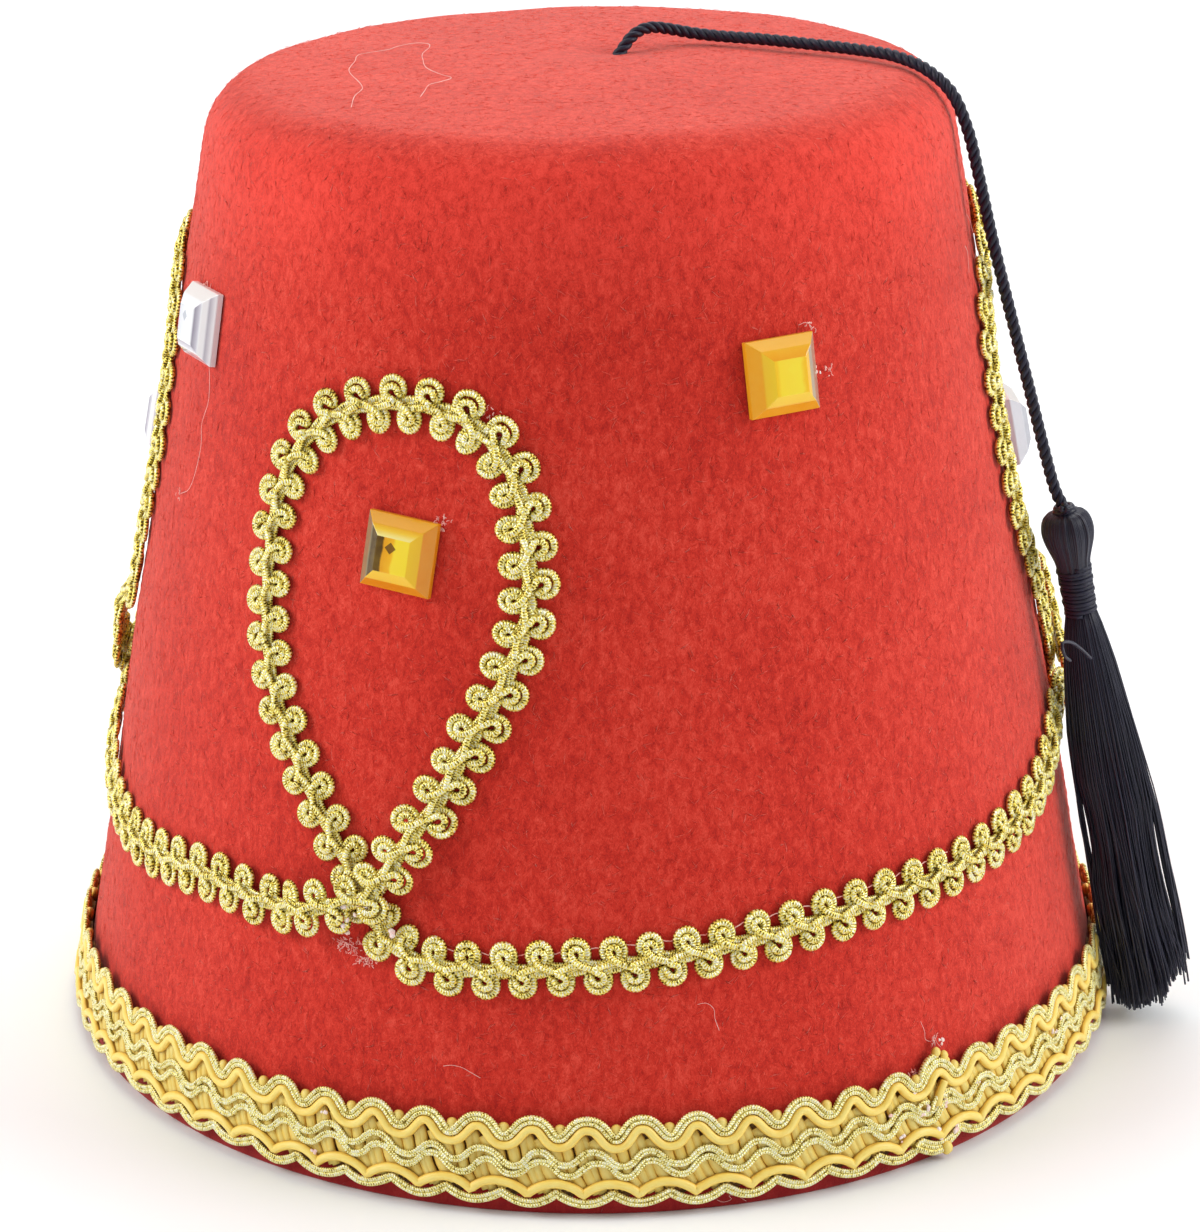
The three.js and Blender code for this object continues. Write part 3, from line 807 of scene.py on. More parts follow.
def makeScroll():
    material = wrappedMaterial("gold gimp", gimpGold, 0.46, 0.45, 0.32, 2.0)
    quarters = len(scroll["loops"])
    for quarter in range(quarters):
        first = round(ringCount * quarter / quarters)
        last = round(ringCount * (quarter + 1) / quarters)
        runs = [curlRun(eyeCurl, first, last, 0), curlRun(crescentCurl, first, last, 0.5),
                coreRun(first, last, 1), coreRun(first, last, -1)]
        piece = cordMesh("scroll_gimp_" + str(quarter + 1), runs, 6)
        dress(piece, material, "gold_scroll_thread", "scroll_braid")
        print("scroll quarter:", len(piece.data.polygons), "faces")


makeScroll()

# the hem braid: each cord waves between two heights above the braid's foot, in millimetres
hem = {
    "waves": 65,
    "foot": 1.45,
    "step": 0.4,
    "phaseWander": 0.022,    # in shares of a wave
    "heightWander": 0.09,
}
# a cord may be a pair of strands, which lie half of "pair" to each side of a line that is "beside" the wave
hemCords = [
    {"piece": "metal_upper", "low": 10.75, "high": 13.75, "shift": 0.0, "wide": 0.43,
     "pair": 0.76, "beside": 0.8, "off": 1.5, "lobes": 1.0},
    {"piece": "satin", "low": 10.75, "high": 13.75, "shift": 0.0, "wide": 0.76,
     "pair": 0, "beside": -0.74, "off": 1.4, "lobes": 1.0},
    {"piece": "metal_upper", "low": 7.05, "high": 9.4, "shift": 0.12, "wide": 0.34,
     "pair": 0.52, "beside": 0, "off": 1.6, "lobes": 1.0},
    {"piece": "metal_lower", "low": 5.3, "high": 7.7, "shift": 0.17, "wide": 0.34,
     "pair": 0.52, "beside": 0, "off": 1.55, "lobes": 1.0},
    {"piece": "satin", "low": 2.2, "high": 4.15, "shift": 0.42, "wide": 0.8,
     "pair": 0, "beside": 0, "off": 1.4, "lobes": 0.72},
    {"piece": "metal_lower", "low": 0.85, "high": 2.55, "shift": -0.06, "wide": 0.42,
     "pair": 0.7, "beside": 0, "off": 1.4, "lobes": -0.85},
]


# a wave from 0 to 1: rounded both ways, or with round arches and pointed valleys, or the other way up
def waveShape(phase, lobes):
    if lobes == 1.0:
        return 0.5 + 0.53 * (np.cos(2 * np.pi * phase) - 0.06 * np.cos(6 * np.pi * phase))
    arch = np.abs(np.cos(np.pi * phase)) ** abs(lobes)
    return arch if lobes > 0 else 1 - arch


def hemLine(row, offset, wobble):
    middle = hem["foot"] + (row["low"] + row["high"]) / 2
    length = 2 * math.pi * flankRadius(middle)
    count = round(length * 1.12 / hem["step"])
    share = np.arange(count) / count
    wander = wobble(share)
    wave = waveShape(share * hem["waves"] - row["shift"] + hem["phaseWander"] * wander, row["lobes"])
    height = row["low"] + (row["high"] - row["low"]) * wave + hem["heightWander"] * wander
    slope = (np.roll(height, -1) - np.roll(height, 1)) / (2 * length / count)
    azimuth = share * 360 - slope / np.hypot(1, slope) * offset / length * 360
    height = height + offset / np.hypot(1, slope)
    line = onHem(azimuth, height, seatGap * 0.5 + row["off"])
    return {"line": line, "up": flankNormal(azimuth), "wide": row["wide"], "closed": True}


# slow wander that closes on itself round the hat
def closedWander():
    terms = [(int(n), dice.uniform(0, 2 * np.pi), dice.normal(0, 1)) for n in dice.integers(3, 60, 14)]
    scale = math.sqrt(sum(size * size for _, _, size in terms) / 2) + 1e-9
    return lambda share: sum(size * np.sin(2 * np.pi * n * share + start)
                             for n, start, size in terms) / scale


satin = {
    "deep": (0.32, 0.15, 0.012),
    "shade": (0.86, 0.50, 0.06),
    "body": (1.0, 0.70, 0.12),
    "light": (1.0, 0.82, 0.24),
}


def satinMaterial(name, darker=1.0, threads=14):
    material, tree, shader = newMaterial(name, Roughness=0.42, Specular_IOR_Level=0.5, Sheen_Weight=0.05)
    wrap = wrapMap(tree)
    stretched = addNode(tree, "Mapping", {"Vector": wrap, "Scale": (threads, 0.5, 1)}).outputs[0]
    lines = noise(tree, stretched, 1.0, 3, 0.55)
    broad = noise(tree, objectPlace(tree), 300, 2, 0.5)
    # painted light along the top of each cord and painted shade at its sides, over the satin's own lines and
    # mottle
    mixed = weigh(tree, 0.0, (broad, 0.3), (lines, 0.35), (paintedTopLight(tree, axes(tree, wrap)["X"]), 0.45))
    tints = [[c * darker for c in satin[key]] for key in ("deep", "shade", "body", "light")]
    colour = ramp(tree, mixed, *zip((0.3, 0.44, 0.62, 0.84), tints))
    paint(tree, shader, "Base Color", colour)
    bump(tree, shader, lines, 0.35, 0.00025)
    return material


# the ribs between the cords: soft flat loops that lean the same way, with slits under each crest where the
# painted shadow sheet shows
groundThreads = {
    "perWave": 5,
    "lean": 3.6,             # how far a rib's foot is to the right of its head
    "head": 12.6,
    "foot": 2.4,
    "wide": 1.08,
    "high": 0.5,
}


def ribRuns():
    runs = []
    circumference = 2 * math.pi * flankRadius(8)
    total = hem["waves"] * groundThreads["perWave"]
    for number in range(total):
        share = (number + 0.5) / total
        phase = (share * hem["waves"]) % 1
        pinch = 0.16 * math.sin(2 * math.pi * phase) + 0.1 * math.sin(4 * math.pi * phase)
        head = groundThreads["head"] - 1.5 * (0.5 - 0.5 * math.cos(2 * math.pi * phase)) - 0.3
        foot = groundThreads["foot"] + 0.8 * (0.5 - 0.5 * math.cos(2 * math.pi * phase))
        steps = np.linspace(0, 1, 9)
        lean = groundThreads["lean"] * (steps - 0.5) + 0.28 * np.sin(2 * np.pi * steps + dice.uniform(0, 1))
        across = lean + dice.normal(0, 0.12) - pinch * 1.6
        azimuth = share * 360 + across / circumference * 360
        height = head + (foot - head) * steps
        off = 0.85 + 0.16 * np.sin(np.pi * steps) + dice.normal(0, 0.05)
        line = onHem(azimuth, height, off)
        narrow = 1 - 0.24 * abs(math.cos(math.pi * phase)) ** 6
        runs.append({"line": line, "up": flankNormal(azimuth),
                     "wide": groundThreads["wide"] * narrow * (1 + dice.normal(0, 0.06)),
                     "high": groundThreads["high"]})
    return runs


# a thin dark sheet behind the ribs, a painted shadow in the slits, which also follows the waves of the two
# edges
def shadowSheetBand():
    count = hem["waves"] * 8
    share = np.arange(count) / count
    azimuth = share * 360
    wave = waveShape(share * hem["waves"], 1.0)
    foot, middle, head = (height + (wave - 0.5) * rise
                          for height, rise in ((1.9, 1.6), (7.0, 0), (12.0, 1.6)))
    rows = [(foot, 0.5), (middle, 0.75), (head, 0.5), (head, 0.2), (foot, 0.2)]
    points = np.stack([onHem(azimuth, *row) for row in rows], axis=1).reshape(-1, 3)
    i = np.arange(count)[:, None] * len(rows)
    k = np.arange(len(rows))[None, :]
    there, turn = (i + len(rows)) % (count * len(rows)), (k + 1) % len(rows)
    quads = np.stack(np.broadcast_arrays(i + k, there + k, there + turn, i + turn), axis=-1)
    return points, quads.reshape(-1, 4)


# small soft bobbles that look over the top cord in each of its valleys
def bobbleRuns():
    runs = []
    for number in range(hem["waves"]):
        azimuth = np.full(7, (number + 0.5 + dice.normal(0, 0.02)) / hem["waves"] * 360)
        height = 11.1 + np.array([0, 0.4, 0.7, 0.84, 0.93, 0.98, 1.0]) * 2.6
        width = 1.0 * np.array([0.8, 1, 1, 0.87, 0.64, 0.38, 0.1])
        line = onHem(azimuth, height, 0.95)
        runs.append({"line": line, "up": flankNormal(azimuth), "wide": width, "high": width * 0.8})
    return runs


def makeHem():
    metal = wrappedMaterial("hem metal thread", hemGold, 0.44, 0.4, 0.34, 2.0)
    satinBody = satinMaterial("hem satin")
    groups = {"metal_upper": [], "metal_lower": [], "satin": []}
    wobbles = [closedWander() for _ in hemCords]
    wobbles[1] = wobbles[0]      # the two cords of the upper edge wander together
    for row, wobble in zip(hemCords, wobbles):
        offsets = (row["pair"] / 2, -row["pair"] / 2) if row["pair"] else (0,)
        groups[row["piece"]] += [hemLine(row, row["beside"] + offset, wobble) for offset in offsets]
    for name, runs in groups.items():
        piece = cordMesh("hem_" + name, runs, 10 if name == "satin" else 6)
        dress(piece, satinBody if name == "satin" else metal, "gold_hem_thread", "hem_braid")
        print("hem", name, len(piece.data.polygons), "faces")
    for name, runs, darker in (("ribs", ribRuns(), 0.86), ("bobbles", bobbleRuns(), 0.92)):
        piece = cordMesh("hem_" + name, runs, 8)
        dress(piece, satinMaterial("hem " + name, darker), "gold_hem_thread", "hem_braid")
    points, quads = shadowSheetBand()
    band = meshFromArrays("hem_shadow_sheet", points, [quads])
    # painted shadow for the gaps between the ribs
    shadowSheet = speckled("hem shadow sheet", (1400, 3, 0.6), [(0.35, (0.08, 0.03, 0.012)), (0.7, (0.3, 0.15, 0.03))],
                      0.5, 0.0003, Roughness=0.8)
    dress(band, shadowSheet, "gold_hem_thread", "hem_braid")


makeHem()


# square stones: a flat block, drawn in twice to its table, with a foiled hollow pressed into its back
stone = {
    "side": 12.0,
    "girdle": 1.0,
    "stepSide": 8.8,
    "stepHeight": 2.9,
    "table": 5.6,
    "height": 3.9,
    "backInset": 2.9,
    "backDepth": 1.5,
    "edge": 0.09,
    "places": [   # node, azimuth, height in shares of the crown's, turn, look
        ("stone_front_loop", -22.7, 0.622, -5.6, "amber"),
        ("stone_front_right", 27, 0.779, 1, "lit amber"),
        ("stone_right_loop", 93, 0.61, 0, "clear"),
        ("stone_back_right", 135, 0.775, 3, "clear"),
        ("stone_back_loop", 178, 0.62, -3, "amber"),
        ("stone_back_left", 221, 0.78, 2, "lit amber"),
        ("stone_left_loop", -97, 0.625, 4, "clear"),
        ("stone_front_left", -64.3, 0.786, 2, "clear"),
    ],
    # each look holds the painted reflections and shade of its facets, and which side is painted in shade
    "amber": {
        "slot": "amber_stone",
        "shadeSide": -1,
        "across": [(0.35, (0.06, 0.02, 0.001)), (0.37, (0.85, 0.36, 0.008)), (0.5, (0.95, 0.48, 0.012)),
                   (0.53, (1.0, 0.76, 0.04))],
        "point": (0.18, 0.07, 0.004),
        "side": [(0.5, (1.0, 0.62, 0.02)), (0.72, (0.98, 0.56, 0.015)), (0.75, (0.86, 0.29, 0.002))],
        "top": [(0.5, (1.0, 0.86, 0.30)), (0.62, (0.98, 0.64, 0.05)), (0.75, (0.92, 0.42, 0.012))],
        "left": [(0.66, (0.04, 0.015, 0.001)), (0.72, (0.25, 0.21, 0.13))],
        "haze": (0.95, 0.62, 0.10),
    },
    "lit amber": {   # the same stone, seen with the light in its table
        "slot": "amber_stone",
        "shadeSide": 1,
        "across": [(0.3, (0.98, 0.56, 0.02)), (0.36, (1.0, 0.78, 0.05)), (0.66, (1.0, 0.74, 0.04)),
                   (0.7, (0.98, 0.60, 0.02))],
        "point": (1.0, 0.78, 0.05),
        "side": [(0.5, (1.0, 0.66, 0.03)), (0.7, (0.99, 0.60, 0.03)), (0.75, (0.94, 0.40, 0.01))],
        "top": [(0.5, (0.92, 0.38, 0.01)), (0.7, (0.95, 0.46, 0.02)), (0.75, (0.96, 0.50, 0.03))],
        "left": [(0.57, (0.90, 0.48, 0.03)), (0.62, (0.40, 0.31, 0.24))],
        "haze": (0.98, 0.66, 0.10),
    },
    "clear": {
        "slot": "clear_stone",
        "shadeSide": -1,
        "across": [(0.3, (0.75, 0.76, 0.80)), (0.5, (0.90, 0.91, 0.94)), (0.56, (0.97, 0.97, 0.98))],
        "point": (0.50, 0.52, 0.58),
        "side": [(0.5, (0.93, 0.93, 0.95)), (0.54, (0.28, 0.25, 0.32)), (0.68, (0.62, 0.59, 0.66)),
                 (0.74, (0.98, 0.98, 0.98)), (0.83, (0.97, 0.96, 0.97)), (0.87, (0.50, 0.47, 0.54)),
                 (0.97, (0.90, 0.88, 0.90))],
        "top": [(0.5, (0.98, 0.98, 1.0)), (0.7, (0.98, 0.98, 1.0)), (0.75, (0.95, 0.94, 0.90))],
        "left": [(0.7, (0.42, 0.42, 0.47)), (0.75, (0.66, 0.67, 0.72))],
        "haze": (0.92, 0.93, 0.96),
    },
}


def selectFaces(piece, keep):
    bpy.ops.mesh.select_all(action="DESELECT")
    bpy.ops.object.mode_set(mode="OBJECT")
    for face in piece.data.polygons:
        face.select = keep(face)
    bpy.ops.object.mode_set(mode="EDIT")


# the foiled facets seen through the acrylic, with their reflections and shade painted: a painted dark side, a
# painted bright one and, in the table, both with the small painted square of the foil's own point; the map
# runs from -1 to 1 across the stone
def stoneMaterial(name):
    look = stone[name]
    material, tree, shader = newMaterial(name + " acrylic", Roughness=0.12, IOR=1.49, Coat_Weight=0.22,
                                         Coat_Roughness=0.03, Transmission_Weight=0.06,
                                         Specular_IOR_Level=0.3)
    parts = axes(tree, addNode(tree, "UVMap", uv_map="face").outputs["UV"])
    haze = weigh(tree, -0.25, (noise(tree, objectPlace(tree), 420, 3, 0.6), 0.5))
    x = weigh(tree, parts["X"], (haze, 0.25))
    wideX, wideY = maths(tree, "ABSOLUTE", parts["X"]), maths(tree, "ABSOLUTE", parts["Y"])
    reach = maths(tree, "MAXIMUM", wideX, wideY)
    across = ramp(tree, weigh(tree, 0.5, (x, 0.5)), *look["across"])
    point = maths(tree, "ADD", maths(tree, "ABSOLUTE", maths(tree, "ADD", parts["X"], 0.06)),
                  maths(tree, "ABSOLUTE", maths(tree, "ADD", parts["Y"], -0.2)))
    table = mixColour(tree, maths(tree, "LESS_THAN", point, 0.16), across, (*look["point"], 1))
    top = mixColour(tree, maths(tree, "GREATER_THAN", parts["Y"], wideX), ramp(tree, reach, *look["side"]),
                    ramp(tree, reach, *look["top"]))
    left = maths(tree, "GREATER_THAN", maths(tree, "MULTIPLY", parts["X"], -1), wideY)
    facets = mixColour(tree, left, top, ramp(tree, reach, *look["left"]))
    outside = maths(tree, "GREATER_THAN", reach, stone["table"] / stone["side"])
    colour = mixColour(tree, outside, table, facets)
    paint(tree, shader, "Base Color", mixColour(tree, maths(tree, "MULTIPLY_ADD", haze, 0.6, 0.08), colour,
                                                (*look["haze"], 1)))
    bump(tree, shader, haze, 0.05, 0.0002)
    return material


def flankPlace(azimuth, height, standOff, turn=0.0):
    out = Vector(flankNormal(azimuth))
    right = Vector((math.cos(math.radians(azimuth)), math.sin(math.radians(azimuth)), 0))
    facing = Matrix((right, out.cross(right), out)).transposed().to_4x4()
    place = Matrix.Translation(Vector(onFlank(azimuth, height, standOff)) * mm)
    return place @ facing @ Matrix.Rotation(math.radians(turn), 4, "Z")


def makeStone(node, azimuth, share, turn, look, material):
    deselectAll()
    bpy.ops.mesh.primitive_cube_add(size=1)
    piece = startPiece(node.replace("stone", "gem"))
    bpy.ops.object.mode_set(mode="EDIT")
    bpy.ops.mesh.select_all(action="SELECT")
    side, girdle = stone["side"], stone["girdle"]
    bpy.ops.transform.resize(value=(side * mm, side * mm, girdle * mm))
    bpy.ops.transform.translate(value=(0, 0, girdle / 2 * mm))
    selectFaces(piece, lambda face: face.normal.z > 0.9)
    low = girdle
    for newSide, height in ((stone["stepSide"], stone["stepHeight"]), (stone["table"], stone["height"])):
        bpy.ops.mesh.extrude_region_move(TRANSFORM_OT_translate={"value": (0, 0, (height - low) * mm)})
        bpy.ops.transform.resize(value=(newSide / side, newSide / side, 1))
        side, low = newSide, height
    selectFaces(piece, lambda face: face.normal.z < -0.9)
    bpy.ops.mesh.inset(thickness=stone["backInset"] * mm, depth=-stone["backDepth"] * mm)
    bpy.ops.object.mode_set(mode="OBJECT")
    applyModifier(piece, "BEVEL", width=stone["edge"] * mm, segments=1, limit_method="ANGLE", angle_limit=0.2)
    dress(piece, material, look["slot"], node)
    # the map is mirrored so that the painted shade falls on the stone's given side
    layer = piece.data.uv_layers.new(name="face")
    for loop in piece.data.loops:
        place = piece.data.vertices[loop.vertex_index].co / (stone["side"] / 2 * mm)
        layer.data[loop.index].uv = (-look["shadeSide"] * place.x, place.y)
    piece.data.transform(flankPlace(azimuth, share * crown["height"], 0.05, turn))


def makeStones():
    materials = {name: stoneMaterial(name) for name in ("amber", "lit amber", "clear")}
    for *place, name in stone["places"]:
        makeStone(*place, stone[name], materials[name])
    print("stones:", len(stone["places"]))


makeStones()

# what the making left behind, where the photograph has it: hairs, glue and the two ends of the hem braid.
# Flank places are azimuth and height, places on top are x and y
stray = {
    "hairs": [
        [(-62.8, 126.4), (-61.2, 123.6), (-60.3, 119.0), (-61.5, 114.6), (-60.9, 111.1), (-62.8, 103.5),
         (-65.8, 101.4)],
        [(-64.4, 137.1), (-64.7, 136.0), (-65.5, 135.0)],
        [(11.8, 33.2), (12.7, 33.3), (13.5, 32.3), (13.6, 30.7), (14.0, 28.7)],
        [(-15.1, 22.8), (-14.2, 23.1), (-13.1, 22.9), (-12.2, 22.3), (-11.1, 21.5)],
        [(76.5, 143.0), (78.6, 141.2), (79.9, 138.6), (79.3, 136.0), (77.4, 135.2)],
        [(72.0, 139.0), (72.9, 137.8), (72.5, 136.3), (71.9, 134.6)],
        [(38.0, 22.8), (38.4, 20.9), (38.4, 19.6), (39.1, 18.9)],
        [(40.1, 19.6), (39.8, 18.9), (40.4, 17.4)],
        [(30.5, 136.4), (31.8, 136.6), (32.7, 135.6)],
        [(12.9, 1.4), (13.5, 0.9), (14.4, 1.2), (14.1, 1.9), (15.0, 1.6), (15.9, 0.6)],
    ],
    "topHairs": [
        [(-35.9, -31.4), (-35.7, -24.1), (-34.7, -19.3), (-37.7, -5.2), (-37.1, 1.9), (-36.6, 7.8),
         (-34.2, 9.2), (-31.7, 10.6), (-30.1, 13.2), (-27.5, 14.9), (-25.3, 13.7), (-24.8, 10.5),
         (-25.8, 4.5), (-25.5, -1.0), (-24.7, -7.3), (-22.2, -12.8), (-20.3, -16.0),
         (-22.1, -18.3), (-23.7, -19.7), (-24.4, -23.8), (-25.0, -27.8)],
    ],
    "hairWidth": 0.037,
    "wisps": [   # azimuth, height, half the spread in azimuth and in height, how many
        (-17.6, 108.6, 1.5, 1.4, 26), (-13.4, 126.0, 3.2, 1.6, 30), (-9.9, 123.2, 1.2, 1.4, 22),
        (-26.4, 39.6, 2.2, 1.8, 40), (-24.6, 38.0, 1.6, 1.2, 24), (32.0, 136.2, 1.0, 1.2, 7),
        (34.6, 128.6, 1.0, 1.8, 9), (-66.2, 136.6, 1.2, 0.9, 7), (-65.6, 101.6, 0.8, 0.8, 7),
        (36.2, 14.6, 1.4, 1.4, 14), (39.4, 19.2, 0.5, 0.9, 8), (63.0, 49.0, 1.0, 1.4, 9),
        (31.0, 4.6, 1.0, 1.0, 6),
    ],
    "lumps": [   # azimuth, height, stand-off, half the size
        (-23.6, 46.9, 3.6, 1.1), (-26.7, 47.4, 3.4, 0.95), (-25.3, 45.0, 3.5, 0.8), (-27.3, 45.4, 2.9, 0.9),
        (-26.2, 43.0, 2.6, 0.9), (-20.9, 43.7, 2.3, 0.7), (32.4, 129.3, 0.7, 0.45), (39.9, 18.8, 1.3, 0.5),
        (36.9, 9.8, 2.0, 0.6), (39.1, 9.3, 1.9, 0.7), (36.0, 8.6, 1.9, 0.55), (35.5, 12.0, 1.8, 0.5),
        (40.2, 4.6, 1.9, 0.85), (38.2, 3.9, 1.9, 0.65), (33.3, 5.9, 1.9, 0.45), (32.3, 10.2, 1.9, 0.45),
        (44.0, 9.8, 1.9, 0.5), (59.1, 9.8, 1.9, 0.55), (60.6, 11.1, 1.9, 0.45), (-28.6, 5.2, 1.9, 0.5),
        (-27.8, 12.4, 1.9, 0.45), (4.0, 5.0, 1.8, 0.4),
    ],
    "film": {"from": -17.0, "to": 46.0, "left": 2.7},
    "hemThreads": [   # places, stand-off, half-width
        ([(36.2, 12.6), (36.6, 14.4), (37.3, 16.0), (38.3, 16.9), (39.0, 16.9)], 1.3, 0.55),
        ([(34.6, 3.6), (35.7, 2.5), (37.0, 1.6), (38.3, 1.5)], 1.7, 0.55),
        ([(37.0, 8.2), (37.5, 9.6), (38.4, 10.6), (39.3, 10.0)], 2.0, 0.42),
        ([(35.2, 9.6), (36.0, 10.3), (36.9, 10.2)], 2.0, 0.4),
    ],
    "hemKnobs": [   # azimuth, height, stand-off, half the size
        (38.9, 17.5, 1.4, 0.85), (39.9, 16.5, 1.4, 0.85), (40.3, 15.5, 1.3, 0.6), (38.7, 1.6, 1.75, 1.15),
    ],
    "hemStub": ([(38.0, 9.0), (38.5, 11.0), (39.3, 12.6)], 1.9, 0.75),
}


def flankRun(points, standOff, width, steps=6):
    flat = evenLine(smoothLine([(*point, standOff) for point in points], steps), 0.3)
    line = onFlank(flat[:, 0], flat[:, 1], flat[:, 2])
    return {"line": line, "up": flankNormal(flat[:, 0]), "wide": width}


def topRun(points, width):
    flat = evenLine(smoothLine(points, 6), 0.5)
    heights = topHeight(np.hypot(flat[:, 0], flat[:, 1])) + 0.12
    line = np.column_stack([flat, heights])
    return {"line": line, "up": np.broadcast_to((0.0, 0.0, 1.0), line.shape), "wide": width}


def wispRuns():
    runs = []
    for azimuth, height, across, up, count in stray["wisps"]:
        for _ in range(count):
            start = np.array([azimuth + dice.normal(0, across * 0.4), height + dice.normal(0, up * 0.4)])
            turn = dice.uniform(0, 2 * np.pi)
            points = [start]
            for _ in range(dice.integers(2, 5)):
                turn += dice.normal(0, 1.3)
                points.append(points[-1] + np.array([math.cos(turn) * 0.22, math.sin(turn) * 0.3]))
            runs.append(flankRun(points, 0.3 + dice.uniform(0, 0.25), dice.uniform(0.04, 0.11), 3))
    return runs


def lumpRuns():
    runs = []
    places = [place for place in stray["lumps"] for _ in range(3)]
    for azimuth, height, standOff, full in places:
        size = full * dice.uniform(0.4, 0.75)
        turn = dice.uniform(0, np.pi)
        reach = np.array([-1, -0.9, -0.6, -0.1, 0.4, 0.8, 1.0]) * size * 1.2
        middle = azimuth + math.degrees(dice.normal(0, full * 0.7) / flankRadius(height))
        azimuths = middle + np.degrees(reach * math.cos(turn) / flankRadius(height))
        heights = height + dice.normal(0, full * 0.7) + reach * math.sin(turn)
        width = size * np.array([0.2, 0.55, 0.9, 1.0, 0.85, 0.6, 0.15]) * dice.uniform(0.75, 1.25, 7)
        line = onFlank(azimuths, heights, np.full(7, standOff))
        runs.append({"line": line, "up": flankNormal(azimuths), "wide": width, "high": width * 0.6})
    return runs


# the glue string that runs from ring to ring along the upper edge of the front swag
def filmRuns():
    film = stray["film"]
    azimuths, heights = stripLine[:, 0], stripLine[:, 1]
    onSwag = (azimuths > film["from"]) & (azimuths < film["to"]) & (heights < 52)
    first, last = stripTravel[onSwag].min(), stripTravel[onSwag].max()
    along = np.arange(first, last, 0.7)
    left = film["left"] + 0.25 * np.sin(along * 1.3) + dice.normal(0, 0.06, len(along))
    place, up = onStrip(along, left, np.full(len(along), 0.25))
    return [{"line": place, "up": up, "wide": 0.1, "high": 0.07}]


def makeStray():
    hairs = [flankRun(points, 0.15, stray["hairWidth"]) for points in stray["hairs"]]
    hairs += [topRun(points, stray["hairWidth"] * 1.3) for points in stray["topHairs"]]
    pale = speckled("pale hair", (300, 2, 0.5), [(0.35, (0.85, 0.42, 0.38)), (0.65, (0.95, 0.75, 0.68))],
                    0.2, 0.0002, Roughness=0.5, Sheen_Weight=0.3)
    dress(cordMesh("stray_hairs", hairs, 5), pale, "red_felt", "felt_crown")
    glue = speckled("dried glue", (900, 3, 0.6), [(0.35, (0.95, 0.60, 0.52)), (0.62, (1.0, 0.93, 0.88))],
                    0.5, 0.0004, Roughness=0.3)
    pink = speckled("glue in the nap", (700, 3, 0.6), [(0.35, (0.86, 0.22, 0.19)), (0.66, (1.0, 0.66, 0.58))],
                    0.5, 0.0004, Roughness=0.5)
    for name, runs, look in (("glue_wisps", wispRuns(), pink), ("glue_lumps", lumpRuns(), glue),
                             ("glue_string", filmRuns(), pink)):
        dress(cordMesh(name, runs, 6), look, "gold_scroll_thread", "scroll_braid")
    print("stray pieces:", len(stray["hairs"]) + 1, "hairs,", len(stray["lumps"]), "lumps of glue")


makeStray()


# the two ends of the hem braid, where it closes right of the front: a cord that stands up over the edge
# with a frayed tip, and one that ends in a small ball at the foot
def makeHemEnds():
    metal = wrappedMaterial("loose hem thread", hemGold, 0.44, 0.4, 0.34, 2.0)
    cords = [flankRun(*row) for row in stray["hemThreads"]]
    dress(cordMesh("hem_loose_threads", cords, 8), metal, "gold_hem_thread", "hem_braid")
    knobs = []
    for azimuth, height, standOff, size in stray["hemKnobs"]:
        azimuths = np.full(7, azimuth)
        heights = height + size * np.array([-1, -0.92, -0.6, 0, 0.6, 0.92, 1])
        width = size * np.array([0.1, 0.4, 0.8, 1, 0.8, 0.4, 0.1])
        knobs.append({"line": onFlank(azimuths, heights, np.full(7, standOff)), "up": flankNormal(azimuths),
                      "wide": width, "high": width * 0.9})
    knobs.append(flankRun(*stray["hemStub"]))
    ends = cordMesh("hem_loose_ends", knobs, 8)
    dress(ends, satinMaterial("loose hem ends", 0.94), "gold_hem_thread", "hem_braid")


makeHemEnds()

# the tassel: threads folded over into a head, wound at the neck and cut off at the foot
threads = {
    "count": 640,
    "width": 0.15,
    "stations": 20,
    "locks": 46,
    "gather": 0.42,          # how far a lock's threads have drawn together at its foot
    "sway": 0.062,           # in shares of the skirt's radius, as the partings are
    "ragged": 1.5,
    "outerShort": 5.0,       # how much sooner the threads furthest from the hat end
    "partings": [            # side (1 away from the hat), threads, from, to, how far the rest draws in
        (1, 26, 0.5, 0.88, 0.2),
        (-1, 12, 0.42, 0.66, 0.13),
    ],
    "loose": 7,
    "curl": [                # azimuth, height and stand-off of the strand that curls up over the trim
        (66.8, 70.2, 9.0), (65.2, 72.0, 9.0), (65.0, 74.0, 9.0), (67.5, 73.0, 9.2), (70.0, 70.5, 9.6),
        (72.5, 67.5, 10.0),
    ],
    "headRibs": 96,
    "headOutline": [(0.0, 0.3), (0.04, 0.68), (0.12, 0.88), (0.3, 0.95), (0.5, 0.9), (0.7, 0.75),
                    (0.85, 0.64), (1.0, 0.6)],
    "skirtOutline": [(0, 0), (0.06, 0.22), (0.15, 0.45), (0.3, 0.72), (0.5, 0.92), (0.75, 1), (1, 1.04)],
    "windings": 12,
}
neckEnd = tassel["headLength"] + tassel["neckLength"]


def hangFrames(downs):
    places = np.array([hangPoint(down) for down in downs])
    along = np.array([hangPoint(down + 0.5) - hangPoint(down - 0.5) for down in downs])
    along /= np.linalg.norm(along, axis=1, keepdims=True)
    across = np.cross(along, (0, 0, 1))
    across /= np.linalg.norm(across, axis=1, keepdims=True)
    return places, along, across, np.cross(across, along)


def outlineAt(table, shares):
    table = np.array(table)
    return np.interp(shares, table[:, 0], table[:, 1])


# how wide the skirt is, at shares of the way from the neck to the foot
def skirtRadius(shares):
    neck, skirt = tassel["neckDiameter"] / 2, tassel["skirtDiameter"] / 2
    return neck + (skirt - neck) * outlineAt(threads["skirtOutline"], shares)


